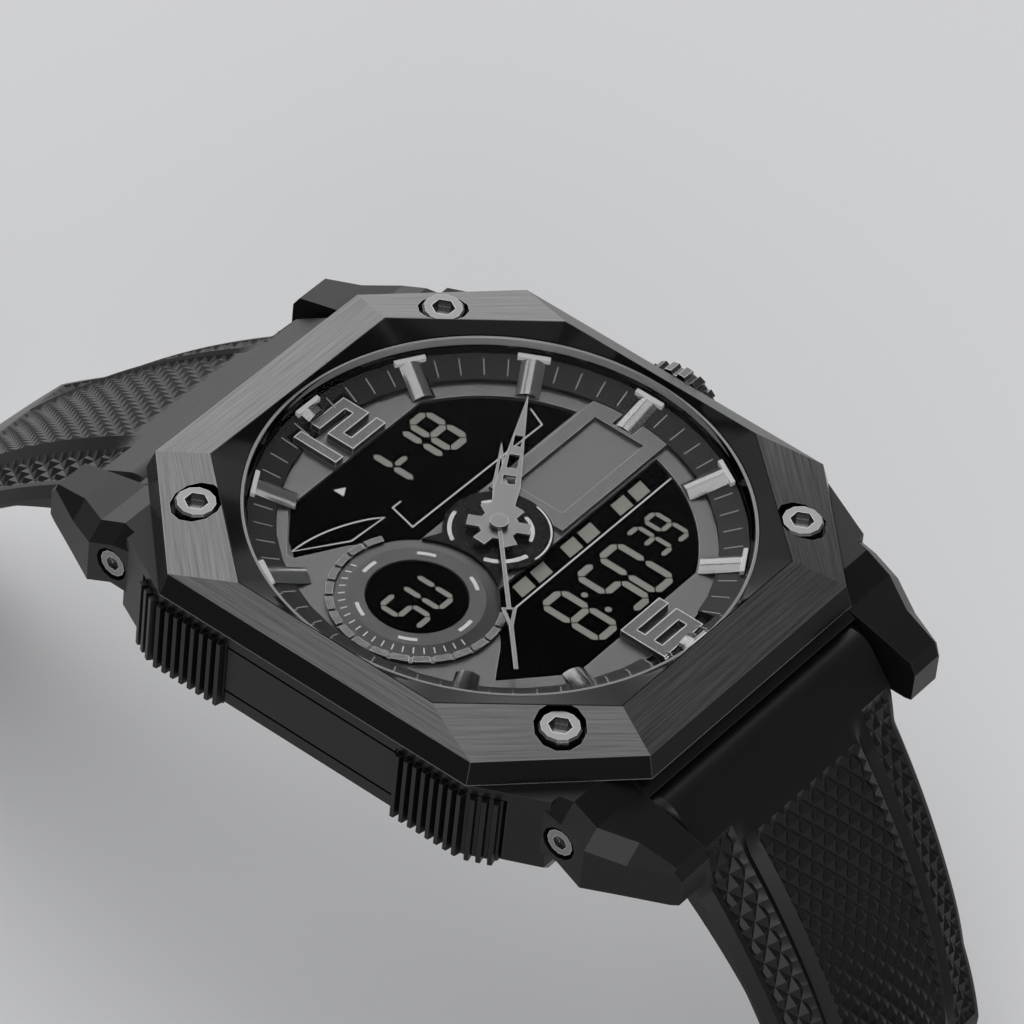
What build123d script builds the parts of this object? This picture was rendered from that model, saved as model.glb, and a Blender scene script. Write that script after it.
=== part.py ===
from build123d import *
import os
from math import atan2, cos, degrees, hypot, pi, radians, sin, sqrt

os.makedirs("parts", exist_ok=True)

# A wristwatch with hands and liquid crystal windows. Millimetres throughout.
# x runs to 3 o'clock, y to 12 o'clock and z out of the dial.
# The origin is the middle of the case back's outer face, on the axis of the hands.

# Bezel, an eight-sided frame with a raised ridge
bezel_half_w = 22.0
bezel_half_l = 24.05
bezel_flat_x = 12.3
bezel_flat_y = 14.65
bezel_flare = 0.6
bezel_flare_flat_share = 0.4
ridge_half_w = 20.1
ridge_half_l = 20.05
ridge_flat_x = 10.65
ridge_flat_y = 9.4
bezel_seat_z = 10.4
bezel_edge_z = 12.3
ridge_z = 13.5
dish_drop = 0.4
overrun = 1.0

# Side counts of the round outlines that are drawn with flat sides
wide_sides = 40
plate_sides = 24
head_sides = 12
shank_sides = 8
dish_steps = 6
rim_steps = 2

# Bezel screws
bezel_screw_x = 15.1
bezel_screw_y = 17.65
bezel_head_r = 1.7
bezel_head_h = 1.0
bezel_head_top_z = 13.15
bezel_head_bevel = 0.16
bezel_shank_r = 0.8
bezel_thread_depth = 4.0
head_gap = 0.28
screw_gap = 0.05
hex_sides = 6
hex_share = 0.56
hex_depth_share = 0.7

# Crystal and its ring
crystal_r = 19.6
crystal_seat_z = 12.2
crystal_t = 1.1
crystal_bevel = 0.25
crystal_ring_gap = 0.02
crystal_ring_w = 0.28
crystal_ring_h = 0.8

# Dial, minute ring and windows
cavity_r = 17.2
dial_r = 16.95
dial_t = 0.3
dial_top_z = 10.6
dial_hole_r = 1.2
minute_ring_in_r = 17.0
minute_ring_out_r = 19.25
minute_ring_in_z = 10.95
minute_ring_out_z = 11.65
minute_ring_lip_t = 0.25
minute_ring_lip_w = 0.3
numeral_notch_half_w = 3.5
numeral_notch_in_y = 16.0
numeral_notch_out_y = 18.15
window_r = 15.45
window_top_y = 13.6
window_bottom_y = 13.8
upper_window_low_y = 3.9
lower_window_high_y = 3.8
upper_window_shares = ((-0.57, 0.88), (-0.83, 0.67), (-0.83, 0.63), (-0.57, 0.485), (-0.33, 0.30))
lower_window_shares = ((-0.51, -0.893), (-0.82, -0.63), (-0.61, -0.50), (-0.33, -0.29))
frame_left_x = 3.4
frame_half_h = 3.6
frame_open_left_x = 4.9
frame_open_right_x = 15.2
frame_open_half_h = 2.4
frame_t = 0.3
frame_out_r = 16.9
frame_notch_x = 15.5

# Hour markers and numerals
marker_in_r = 15.6
marker_out_r = 19.1
marker_foot_r = 16.85
marker_half_w = 0.95
marker_head_half_w = 1.3
marker_head_l = 0.35
marker_t = 0.38
marker_in_t = 0.45
marker_gap = 0.05
marker_hours = (1, 2, 3, 4, 5, 7, 8, 10, 11)
stub_hours = (6, 12)
hour_turn = 30.0
quarter_turn = 90.0
stub_in_r = 17.97
numeral_t = 0.6
numeral_stroke = 0.9
numeral_h = 4.2
numeral_one_x = -2.9
numeral_two_x = -0.8
numeral_two_w = 4.0
numeral_twelve_y = 13.7
numeral_six_x = -2.4
numeral_six_w = 4.8
numeral_six_y = -17.9

# Small dial at 9 o'clock
sub_x = -9.9
sub_lcd_r = 3.95
sub_flat_r = 5.25
sub_slope_r = 6.35
sub_top_z = 11.0
sub_slope_low_z = 10.75
sub_rim_in_r = 6.4
sub_rim_out_r = 7.0
sub_rim_t = 0.35
sub_rim_start = 62.0
sub_rim_end = 298.0
sub_rim_count = 17
sub_rim_gap_w = 0.3
sub_rim_gap_d = 0.15

# Cog-shaped plate in the middle of the dial
centre_plate_r = 4.3
centre_plate_t = 0.35
waist_share = 0.72
waist_reach = 7.2
waist_reach_half_l = 4.9

# Hands
hour_hand_z = 11.15
minute_hand_z = 11.42
second_hand_z = 11.7
hand_t = 0.15
second_hand_t = 0.1
hour_hand_l = 9.5
hour_hand_hub_r = 1.2
hour_hand_bar_l = 5.0
hour_hand_half_w = 0.55
hour_hand_slot_shares = ((0.6, 0.42), (0.86, 0.0))
minute_hand_l = 14.9
minute_hand_root_half_w = 0.75
minute_hand_half_w = 1.0
minute_hand_wide_l = 4.4
minute_window_shares = ((0.31, 0.375, 0.5), (0.43, 0.535, 0.42), (0.6, 0.685, 0.33))
minute_hub_r = 1.55
minute_lobe_r = 2.45
minute_lobe_half_w = 0.55
minute_lobes = 6
second_hand_l = 15.8
second_hand_half_w = 0.16
second_arrow_in_r = 9.3
second_arrow_out_r = 12.0
second_arrow_half_w = 0.6
second_arrow_slot_share = 0.5
second_cap_r = 0.73
second_cap_h = 0.3
hour_hand_angle = 53.0
minute_hand_angle = 60.5
second_hand_angle = 227.0

# Case middle and lugs
case_half_w = 22.4
case_half_l = 20.6
case_flat_x = 19.6
case_flat_y = 15.0
case_bottom_z = 1.0
side_bottom_z = 3.4
case_skirt_w = 2.2
case_skirt_l = 1.0
side_panel_low_z = 4.5
side_panel_high_z = 9.0
side_panel_t = 0.22
side_groove = 0.25
lug_in_x = 13.1
lug_out_x = 19.8
lug_root_y = 17.0
lug_top_y = 24.1
lug_top_z = 9.25
lug_knee_y = 27.0
lug_knee_z = 8.5
lug_end_y = 30.2
lug_end_z = 7.6
lug_nose_y = 30.8
lug_nose_z = 6.6
lug_tip_z = 3.9
lug_bottom_z = 5.1
lug_taper_y = 24.0
lug_tip_out_x = 16.3
lug_chamfer = 1.4
lug_edge = 0.3

# End links between the lugs, and the cross screws that hold them
end_link_gap = 0.1
end_link_back_y = 20.7
end_link_front_y = 25.6
end_link_low_z = 4.3
lug_screw_y = 21.8
lug_screw_z = 7.0
lug_screw_r = 0.7
lug_screw_head_r = 1.15
lug_screw_head_h = 0.7
lug_screw_sink = 0.15
lug_screw_in_x = 9.0

# Strap halves, measured along their outer face from the end link
strap_half_w = 12.95
strap_taper_half_w = 10.9
strap_taper_l = 33.0
strap_tail_half_w = 10.0
strap_shoulder_l = 2.0
strap_knuckle_r = 2.3
strap_knuckle_gap = 0.3
strap_tail_t = 2.8
strap_thin_l = 16.0
strap_panel_half_w = 6.8
strap_valley_w = 1.5
strap_valley_depth = 0.8
strap_side_drop = 1.3
strap_edge_bevel = 0.8
strap_smooth_l = 3.5
strap_flat_share = 0.05
strap_step_share = 0.25
strap_panel_l = 6.5
strap_station_l = 10.0
strap_station_turn = 15.0
strap_pin_y = 25.45
strap_pin_z = 6.35
strap_pin_r = 0.65
strap_pin_sink = 0.8
strap_pin_gap = 0.05
strap12_start = 31.0
strap12_runs = ((38.0, 95.0), (12.0, 0))
strap12_foot_r = 16.0
strap12_foot_l = 20.0
strap6_start = 45.0
strap6_runs = ((22.0, 70.0), (12.0, 30.0))
strap6_foot_l = 52.0
strap_tip_l = 9.0
strap_tip_shares = ((0.3, 0.98), (0.55, 0.88), (0.75, 0.72), (0.9, 0.5), (1.0, 0.26))
strap_hole_r = 1.2
strap_hole_count = 7
strap_hole_pitch = 7.0
strap_hole_first_l = 11.0

# Buckle and keepers
keeper_room = 3.2
keeper_side_room = 0.4
keeper_wall = 1.1
keeper_back_gap = 0.45
keeper_fixed_near_l = 0.6
keeper_fixed_l = 4.4
keeper_l = 4.6
keeper_end_l = 11.6
buckle_pin_r = 0.7
buckle_pin_gap = 0.05
buckle_knuckle_r = 1.75
buckle_slot_half_w = 1.6
buckle_slot_l = 3.0
buckle_in_half_w = 10.5
buckle_bar_w = 2.6
buckle_back_l = 1.8
buckle_front_l = 12.6
buckle_half_t = 1.3
buckle_corner_r = 2.2
tongue_half_w = 1.25
tongue_ring_r = 1.45
tongue_t = 1.0
tongue_tip_l = 12.4

# Pushers at 2, 4, 8 and 10 o'clock
pocket_floor_x = 19.8
pocket_near_y = 8.1
pocket_far_y = 17.7
pocket_low_z = 2.9
pocket_high_z = 9.6
pusher_gap = 0.15
pusher_places = ((2, 1, 1), (4, 1, -1), (8, -1, -1), (10, -1, 1))
pusher_face_x = 22.35
pusher_travel = 0.8
pusher_floor_gap = 0.1
pusher_back_x = pocket_floor_x + pusher_travel + pusher_floor_gap
pusher_flat_ribs = 8
pusher_corner_ribs = 3
pusher_rib_h = 0.6
pusher_rib_shares = ((0.15, 0.0), (0.3, 1.0), (0.7, 1.0), (0.85, 0.0))
pusher_bevel_share = 0.5
pusher_stem_y = 12.6
pusher_stem_z = 6.25
pusher_stem_r = 0.75
pusher_stem_gap = 0.08
pusher_relief_x = 12.4
pusher_relief_half_w = 1.7
holder_relief_x = 10.8
pusher_collar_r = 1.2
pusher_collar_l = 0.4
pusher_collar_gap = 0.1
spring_well_r = 1.55
spring_well_l = 2.5
spring_r = 1.15
spring_wire = 0.2
seal_groove_r = 1.35
seal_groove_l = 1.0
seal_gap = 0.04
seal_x = 15.4

# Crown at 3 o'clock
crown_z = 8.1
crown_in_x = 22.8
crown_l = 1.7
crown_end_l = 0.55
crown_root_r = 3.5
crown_rib_r = 3.85
crown_end_r = 2.9
crown_flutes = 18
crown_flute_shares = ((0.0, 0.91), (0.3, 0.91), (0.42, 1.0), (0.88, 1.0))
crown_seal_x = 19.6
crown_seal_r = 1.15
crown_stem_r = 0.7
crown_stem_in_x = 11.8
crown_tube_r = 1.5
crown_tube_in_x = 17.35
crown_tube_out_x = 22.3
crown_tube_gap = 0.02
crown_stem_gap = 0.07
crown_room = 0.22
stem_clip_x = 12.0
stem_clip_t = 0.4
stem_clip_r = 1.0

# Case back
back_plate_r = 19.4
back_plate_bevel = 0.4
back_spigot_r = 17.0
back_spigot_h = 0.8
back_seal_r = 17.62
back_seal_w = 0.4
back_seal_h = 0.5
back_screw_ring_r = 18.5
back_screw_head_r = 0.7
back_screw_head_h = 0.5
back_screw_r = 0.35
back_screw_l = 2.4
back_screw_count = 4
back_screw_angle = 45.0

# Movement module
holder_r = 16.85
holder_skirt_in_r = 14.1
holder_in_r = 13.6
holder_rim_in_r = 16.05
holder_floor_z = 5.0
holder_floor_t = 0.4
bridge_low_z = 8.55
bridge_t = 0.4
bridge_r = 14.0
bridge_notch_half_w = 1.3
lcd_low_z = 9.2
lcd_t = 1.05
lcd_gap = 0.05
sub_lcd_drop = 0.1
motion_room_left_x = 3.0
motion_room_right_x = 6.0
motion_room_half_l = 3.0
board_r = 13.5
board_t = 0.4
battery_r = 10.0
battery_t = 1.6
battery_x = 2.0
clip_half_w = 1.5
clip_t = 0.2
buzzer_r = 8.0
buzzer_t = 0.25
zebra_half_l = 6.5
zebra_half_w = 0.6
zebra_y = 10.6
zebra_sub_x = -10.8
zebra_sub_half_l = 2.0
slot_gap = 0.1

# Wheels: teeth, modules and levels
arbor_r = 0.2
arbor_gap = 0.04
bearing_depth = 0.3
bearing_end_gap = 0.05
board_hole_r = 0.5
wheel_t = 0.22
pinion_t = 0.45
second_wheel_z = 6.1
third_wheel_z = 6.5
centre_wheel_z = 6.95
step_wheel_z = 7.4
minute_wheel_z = 9.2
hour_wheel_z = 9.6
rotor_teeth = 6
step_wheel_teeth = 30
step_pinion_teeth = 6
second_wheel_teeth = 36
second_pinion_teeth = 6
third_wheel_teeth = 45
third_pinion_teeth = 6
centre_wheel_teeth = 48
cannon_teeth = 8
minute_wheel_teeth = 24
minute_pinion_teeth = 6
hour_wheel_teeth = 24
step_module = 0.16
third_module = 0.13
cannon_module = 0.2
third_axis_angle = 60.0
step_axis_angle = 250.0
rotor_axis_angle = 200.0
tooth_tip_share = 0.75
tooth_root_share = 1.05
tooth_base_share = 0.60
tooth_top_share = 0.26
tooth_gap_share = 0.5
wheel_min_teeth = 20
centre_tube_in_r = 0.26
centre_tube_r = 0.38
centre_tube_top_z = 9.3
cannon_in_r = 0.4
cannon_r = 0.56
cannon_low_z = 9.05
hour_tube_in_r = 0.64
hour_tube_r = 0.88
rotor_magnet_r = 1.0
rotor_magnet_low_z = 6.3
rotor_magnet_t = 0.7
stator_z = 6.5
stator_t = 0.3
stator_hole_r = 1.3
stator_r = 1.9
stator_half_w = 5.4
stator_arm_w = 0.95
stator_bar_near = 1.2
stator_bar_far = 2.4
coil_y_offset = 4.2
coil_r = 1.1
coil_half_l = 3.9
coil_core_half_w = 0.6
coil_core_t = 0.5
coil_post_r = 0.4


def octagon(half_w, half_l, flat_x, flat_y):
    """Corners of an eight-sided outline, anticlockwise from the lower end of the 3 o'clock edge."""
    return [
        (half_w, -flat_y),
        (half_w, flat_y),
        (flat_x, half_l),
        (-flat_x, half_l),
        (-half_w, flat_y),
        (-half_w, -flat_y),
        (-flat_x, -half_l),
        (flat_x, -half_l),
    ]


def at_clock(angle, radius=1.0):
    """Point at a clock angle in degrees from 12 o'clock."""
    return (radius * sin(radians(angle)), radius * cos(radians(angle)))


def clock_plane(angle, z):
    """Plane at height z whose y axis points to a clock angle."""
    return Plane(origin=(0, 0, z), x_dir=(cos(radians(angle)), -sin(radians(angle)), 0), z_dir=(0, 0, 1))


def gear_points(teeth, module, phase, centre=(0, 0)):
    """Outline of a spur gear, one tooth centred at the phase angle; wheels have pointed teeth."""
    pitch_r = teeth * module / 2
    root_r = pitch_r - tooth_root_share * module
    tip_r = pitch_r + tooth_tip_share * module
    pitch = 360.0 / teeth
    if teeth < wheel_min_teeth:
        spots = (
            (-tooth_base_share / 2, root_r),
            (-tooth_top_share / 2, tip_r),
            (tooth_top_share / 2, tip_r),
            (tooth_base_share / 2, root_r),
        )
    else:
        spots = ((0, tip_r), (tooth_gap_share, root_r))
    points = []
    for tooth in range(teeth):
        for share, r in spots:
            turn = radians(phase + (tooth + share) * pitch)
            points.append((centre[0] + r * cos(turn), centre[1] + r * sin(turn)))
    return points


def path_point(start, runs, s):
    """Height, reach and downward heading at length s of a chain of bends and straight runs."""
    y, z, heading = start
    left = s
    for length, bend_r in runs:
        step = min(left, length)
        if bend_r:
            turn = step / bend_r
            y += bend_r * (sin(heading + turn) - sin(heading))
            z -= bend_r * (cos(heading) - cos(heading + turn))
            heading += turn
        else:
            y += step * cos(heading)
            z -= step * sin(heading)
        left -= step
    return y, z, heading


def strap_section_plane(start, runs, s):
    """Plane square to the strap; its y axis points from the outer face to the wrist."""
    y, z, heading = path_point(start, runs, s)
    return Plane(origin=(0, y, z), x_dir=(1, 0, 0), z_dir=(0, cos(heading), -sin(heading)))


def strap_face_plane(start, runs, s):
    """Plane on the strap's outer face, facing away from the wrist."""
    y, z, heading = path_point(start, runs, s)
    return Plane(origin=(0, y, z), x_dir=(1, 0, 0), z_dir=(0, sin(heading), cos(heading)))


def strap_half_width(s):
    """Half width at length s: a long taper, a short shoulder and then the tail."""
    if s <= strap_taper_l:
        return strap_half_w + (strap_taper_half_w - strap_half_w) * s / strap_taper_l
    share = min(1.0, (s - strap_taper_l) / strap_shoulder_l)
    return strap_taper_half_w + (strap_tail_half_w - strap_taper_half_w) * share


def strap_section(s):
    """Outline of the strap at length s, right side first: panel, valley, side panel, edge, back."""
    half_w = strap_half_width(s)
    thick = 2 * strap_knuckle_r + (strap_tail_t - 2 * strap_knuckle_r) * min(1.0, s / strap_thin_l)
    grown = min(1.0, max(0.0, (s - strap_smooth_l) / (strap_panel_l - strap_smooth_l)))
    faded = min(1.0, max(0.0, (strap_taper_l - s) / strap_panel_l))
    relief = max(strap_flat_share, grown * faded)
    tail = 1.0 - min(1.0, max(0.0, (strap_taper_l + strap_shoulder_l - s) / strap_shoulder_l))
    drop = strap_side_drop * relief
    bevel = strap_edge_bevel * (1.0 - tail / 2)
    panel = strap_panel_half_w * half_w / strap_half_w
    right = [
        (panel, 0),
        (panel + strap_valley_w * relief / 2, strap_valley_depth * relief),
        (panel + strap_valley_w * relief, drop * strap_step_share),
        (half_w - bevel, drop),
        (half_w, drop + bevel),
        (half_w, thick - bevel / 2),
        (half_w - bevel, thick),
    ]
    left = [(-x, d) for x, d in reversed(right)]
    return right + left


def strap_stations(runs):
    """Lengths of the sections: close together on tight bends, further apart on gentle ones."""
    stops = [0.0, strap_smooth_l, strap_panel_l]
    s = 0.0
    for length, bend_r in runs:
        turn = length / abs(bend_r) if bend_r else 0
        steps = max(1, round(turn / radians(strap_station_turn)))
        if bend_r > 0:
            steps = max(steps, round(length / strap_station_l))
        stops += [s + length * (k + 1) / steps for k in range(steps)]
        s += length
    stops += [strap_taper_l - strap_panel_l, strap_taper_l, strap_taper_l + strap_shoulder_l]
    kept = []
    for stop in sorted(stops):
        if not kept or stop - kept[-1] > strap_edge_bevel:
            kept.append(stop)
    return kept


# Bezel: flared wall, brushed facets up to the ridge, and a dish down to the glass
glass_open_r = crystal_r + crystal_ring_gap + crystal_ring_w
bezel_outline = octagon(bezel_half_w, bezel_half_l, bezel_flat_x, bezel_flat_y)
bezel_foot = octagon(
    bezel_half_w + bezel_flare,
    bezel_half_l + bezel_flare,
    bezel_flat_x + bezel_flare * bezel_flare_flat_share,
    bezel_flat_y + bezel_flare * bezel_flare_flat_share,
)
ridge_outline = octagon(ridge_half_w, ridge_half_l, ridge_flat_x, ridge_flat_y)
ridge_sides = list(zip(ridge_outline, ridge_outline[1:] + ridge_outline[:1]))
side_turns = [(atan2(y2, x2) - atan2(y1, x1)) % (2 * pi) for (x1, y1), (x2, y2) in ridge_sides]
dish_r = glass_open_r / cos(max(side_turns) / dish_steps / 2)
dish_outline = []
ridge_points = []
for ((x1, y1), (x2, y2)), side_turn in zip(ridge_sides, side_turns):
    for k in range(dish_steps):
        turn = atan2(y1, x1) + side_turn * k / dish_steps
        dish_outline.append((dish_r * cos(turn), dish_r * sin(turn)))
        ridge_points.append((x1 + (x2 - x1) * k / dish_steps, y1 + (y2 - y1) * k / dish_steps))
bezel_head_seat_z = bezel_head_top_z - bezel_head_h
screw_spots = [(sx * bezel_screw_x, sy * bezel_screw_y) for sx in (-1, 1) for sy in (-1, 1)]

with BuildPart() as bezel:
    for z, outline in ((bezel_seat_z, bezel_foot), (bezel_edge_z, bezel_outline)):
        with BuildSketch(Plane.XY.offset(z)):
            with BuildLine():
                Polyline(*outline, close=True)
            make_face()
    loft(ruled=True)
    for z, outline in ((bezel_edge_z, bezel_outline), (ridge_z, ridge_outline)):
        with BuildSketch(Plane.XY.offset(z)):
            with BuildLine():
                Polyline(*outline, close=True)
            make_face()
    loft(ruled=True)
    for z, outline in ((ridge_z - dish_drop, dish_outline), (ridge_z, ridge_points)):
        with BuildSketch(Plane.XY.offset(z)):
            with BuildLine():
                Polyline(*outline, close=True)
            make_face()
    loft(ruled=True, mode=Mode.SUBTRACT)
    with BuildSketch(Plane.XY.offset(crystal_seat_z)):
        with BuildLine():
            Polyline(*dish_outline, close=True)
        make_face()
    extrude(amount=ridge_z - crystal_seat_z, mode=Mode.SUBTRACT)
    with BuildSketch(Plane.XY.offset(bezel_seat_z)):
        RegularPolygon(minute_ring_out_r + marker_gap, wide_sides, major_radius=False)
        with Locations(*screw_spots):
            RegularPolygon(bezel_shank_r + screw_gap, shank_sides, major_radius=False)
    extrude(amount=ridge_z - bezel_seat_z, mode=Mode.SUBTRACT)
    with BuildSketch(Plane.XY.offset(bezel_head_seat_z)):
        with Locations(*screw_spots):
            RegularPolygon(bezel_head_r + head_gap, head_sides, major_radius=False)
    extrude(amount=ridge_z - bezel_head_seat_z, mode=Mode.SUBTRACT)
bezel.part.label = "bezel"
export_step(bezel.part, "parts/bezel.step")

# Bezel screws: hexagon socket heads on plain shanks
bezel_screw_low_z = bezel_seat_z - bezel_thread_depth
with BuildPart() as bezel_screws:
    with BuildSketch(Plane.XY.offset(bezel_head_seat_z)):
        with Locations(*screw_spots):
            RegularPolygon(bezel_head_r, head_sides)
    extrude(amount=bezel_head_h)
    chamfer(bezel_screws.edges().group_by(Axis.Z)[-1], bezel_head_bevel)
    with BuildSketch(Plane.XY.offset(bezel_screw_low_z)):
        with Locations(*screw_spots):
            RegularPolygon(bezel_shank_r, shank_sides)
    extrude(amount=bezel_head_seat_z - bezel_screw_low_z)
    with BuildSketch(Plane.XY.offset(bezel_head_top_z)):
        with Locations(*screw_spots):
            RegularPolygon(bezel_head_r * hex_share, hex_sides)
    extrude(amount=-bezel_head_h * hex_depth_share, mode=Mode.SUBTRACT)
bezel_screws.part.label = "bezel_screws"
export_step(bezel_screws.part, "parts/bezel_screws.step")

# Crystal: a flat disc with a bevelled upper edge
with BuildPart() as crystal:
    with BuildSketch(Plane.XY.offset(crystal_seat_z)):
        RegularPolygon(crystal_r, wide_sides)
    extrude(amount=crystal_t)
    chamfer(crystal.edges().group_by(Axis.Z)[-1], crystal_bevel)
crystal.part.label = "crystal"
export_step(crystal.part, "parts/crystal.step")

# Crystal gasket: the pale ring round the glass
with BuildPart() as crystal_gasket:
    with BuildSketch(Plane.XY.offset(crystal_seat_z)):
        RegularPolygon(glass_open_r, 2 * plate_sides)
        RegularPolygon(
            crystal_r + crystal_ring_gap,
            2 * plate_sides,
            major_radius=False,
            mode=Mode.SUBTRACT,
        )
    extrude(amount=crystal_ring_h)
crystal_gasket.part.label = "crystal_gasket"
export_step(crystal_gasket.part, "parts/crystal_gasket.step")

# Minute ring: a sloping ring whose lip rests on the rim of the case
with BuildPart() as minute_ring:
    with BuildSketch(Plane.XY.offset(bezel_seat_z)):
        RegularPolygon(minute_ring_out_r, wide_sides)
    extrude(amount=minute_ring_out_z - bezel_seat_z)
    for z, r in (
        (minute_ring_in_z, minute_ring_in_r),
        (minute_ring_out_z, minute_ring_out_r),
    ):
        with BuildSketch(Plane.XY.offset(z)):
            RegularPolygon(r, wide_sides)
    loft(ruled=True, mode=Mode.SUBTRACT)
    with BuildSketch(Plane.XY.offset(bezel_seat_z)):
        RegularPolygon(minute_ring_in_r, wide_sides)
    extrude(amount=minute_ring_in_z - bezel_seat_z, mode=Mode.SUBTRACT)
    with BuildSketch(Plane.XY.offset(bezel_seat_z)):
        RegularPolygon(minute_ring_in_r + minute_ring_lip_w, wide_sides)
    extrude(amount=minute_ring_in_z - minute_ring_lip_t - bezel_seat_z, mode=Mode.SUBTRACT)
    with BuildSketch(Plane.XY.offset(dial_top_z)):
        for side in (-1, 1):
            with Locations((0, side * (numeral_notch_in_y + numeral_notch_out_y) / 2)):
                Rectangle(2 * numeral_notch_half_w, numeral_notch_out_y - numeral_notch_in_y)
    extrude(amount=crystal_seat_z - dial_top_z, mode=Mode.SUBTRACT)
minute_ring.part.label = "minute_ring"
export_step(minute_ring.part, "parts/minute_ring.step")

# Dial plate with its two liquid crystal windows and the hole of the small dial
dial_low_z = dial_top_z - dial_t
upper_right_x = sqrt(window_r**2 - window_top_y**2)
upper_low_x = sqrt(window_r**2 - upper_window_low_y**2)
lower_high_x = sqrt(window_r**2 - lower_window_high_y**2)
lower_right_x = sqrt(window_r**2 - window_bottom_y**2)
window_diagonal = window_r / sqrt(2)
upper_left_points = [(window_r * x, window_r * y) for x, y in upper_window_shares]
lower_left_points = [(window_r * x, window_r * y) for x, y in lower_window_shares]
upper_left_points[0] = (upper_left_points[0][0], window_top_y)
upper_left_points[-1] = (upper_left_points[-1][0], upper_window_low_y)
lower_left_points[0] = (lower_left_points[0][0], -window_bottom_y)
lower_left_points[-1] = (lower_left_points[-1][0], -lower_window_high_y)
with BuildPart() as dial_plate:
    with BuildSketch(Plane.XY.offset(dial_low_z)):
        RegularPolygon(dial_r, 2 * plate_sides)
        RegularPolygon(dial_hole_r, head_sides, major_radius=False, mode=Mode.SUBTRACT)
        with Locations((sub_x, 0)):
            RegularPolygon(sub_lcd_r, plate_sides, major_radius=False, mode=Mode.SUBTRACT)
        with BuildLine():
            Polyline((upper_right_x, window_top_y), *upper_left_points, (upper_low_x, upper_window_low_y))
            ThreePointArc(
                (upper_low_x, upper_window_low_y),
                (window_diagonal, window_diagonal),
                (upper_right_x, window_top_y),
            )
        make_face(mode=Mode.SUBTRACT)
        with BuildLine():
            Polyline(
                (lower_right_x, -window_bottom_y),
                *lower_left_points,
                (lower_high_x, -lower_window_high_y),
            )
            ThreePointArc(
                (lower_high_x, -lower_window_high_y),
                (window_diagonal, -window_diagonal),
                (lower_right_x, -window_bottom_y),
            )
        make_face(mode=Mode.SUBTRACT)
    extrude(amount=dial_t)
dial_plate.part.label = "dial_plate"
export_step(dial_plate.part, "parts/dial_plate.step")

# Frame round the blank window at 3 o'clock
with BuildPart() as window_frame:
    with BuildSketch(Plane.XY.offset(dial_top_z)):
        Circle(frame_out_r)
        with Locations(((frame_left_x + dial_r) / 2, 0)):
            Rectangle(dial_r - frame_left_x, 2 * frame_half_h, mode=Mode.INTERSECT)
        with Locations(((frame_open_left_x + frame_open_right_x) / 2, 0)):
            Rectangle(frame_open_right_x - frame_open_left_x, 2 * frame_open_half_h, mode=Mode.SUBTRACT)
        with Locations(((frame_notch_x + dial_r) / 2, 0)):
            Rectangle(dial_r - frame_notch_x, 2 * (marker_half_w + marker_gap), mode=Mode.SUBTRACT)
        Circle(centre_plate_r + marker_gap, mode=Mode.SUBTRACT)
    extrude(amount=frame_t)
window_frame.part.label = "window_frame"
export_step(window_frame.part, "parts/window_frame.step")

# Hour markers: sloping bars with a wider head at the outer end
ring_slope = (minute_ring_out_z - minute_ring_in_z) / (minute_ring_out_r - minute_ring_in_r)
marker_low_in_z = minute_ring_in_z + ring_slope * (marker_foot_r - minute_ring_in_r) + marker_gap
marker_low_out_z = minute_ring_in_z + ring_slope * (marker_out_r - minute_ring_in_r) + marker_gap
marker_head_in_r = marker_out_r - marker_head_l
marker_head_low_z = marker_low_out_z - ring_slope * marker_head_l
marker_top_in_z = dial_top_z + marker_in_t
marker_top_out_z = marker_low_out_z + marker_t
stub_foot_r = numeral_notch_out_y - marker_gap
stub_low_in_z = minute_ring_in_z + ring_slope * (stub_foot_r - minute_ring_in_r) + marker_gap
marker_top_slope = (marker_top_out_z - marker_top_in_z) / (marker_out_r - marker_in_r)
with BuildPart() as hour_markers:
    for hour in marker_hours + stub_hours:
        is_stub = hour in stub_hours
        start_r = stub_in_r if is_stub else marker_in_r
        foot_r = stub_foot_r if is_stub else marker_foot_r
        step_z = stub_low_in_z if is_stub else marker_low_in_z
        top_z = marker_top_in_z + marker_top_slope * (start_r - marker_in_r)
        side = at_clock(hour_turn * hour + quarter_turn)
        along = at_clock(hour_turn * hour)
        for near_r, half_w in ((start_r, marker_half_w), (marker_head_in_r, marker_head_half_w)):
            with BuildSketch(Plane(origin=(0, 0, 0), x_dir=(*along, 0), z_dir=(*side, 0))):
                with BuildLine():
                    if near_r == start_r:
                        Polyline(
                            (start_r, dial_top_z),
                            (foot_r, dial_top_z),
                            (foot_r, step_z),
                            (marker_out_r, marker_low_out_z),
                            (marker_out_r, marker_top_out_z),
                            (start_r, top_z),
                            close=True,
                        )
                    else:
                        Polyline(
                            (near_r, marker_head_low_z),
                            (marker_out_r, marker_low_out_z),
                            (marker_out_r, marker_top_out_z),
                            (near_r, marker_top_out_z - marker_top_slope * marker_head_l),
                            close=True,
                        )
                make_face()
            extrude(amount=half_w, both=True)
hour_markers.part.label = "hour_markers"
export_step(hour_markers.part, "parts/hour_markers.step")

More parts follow.
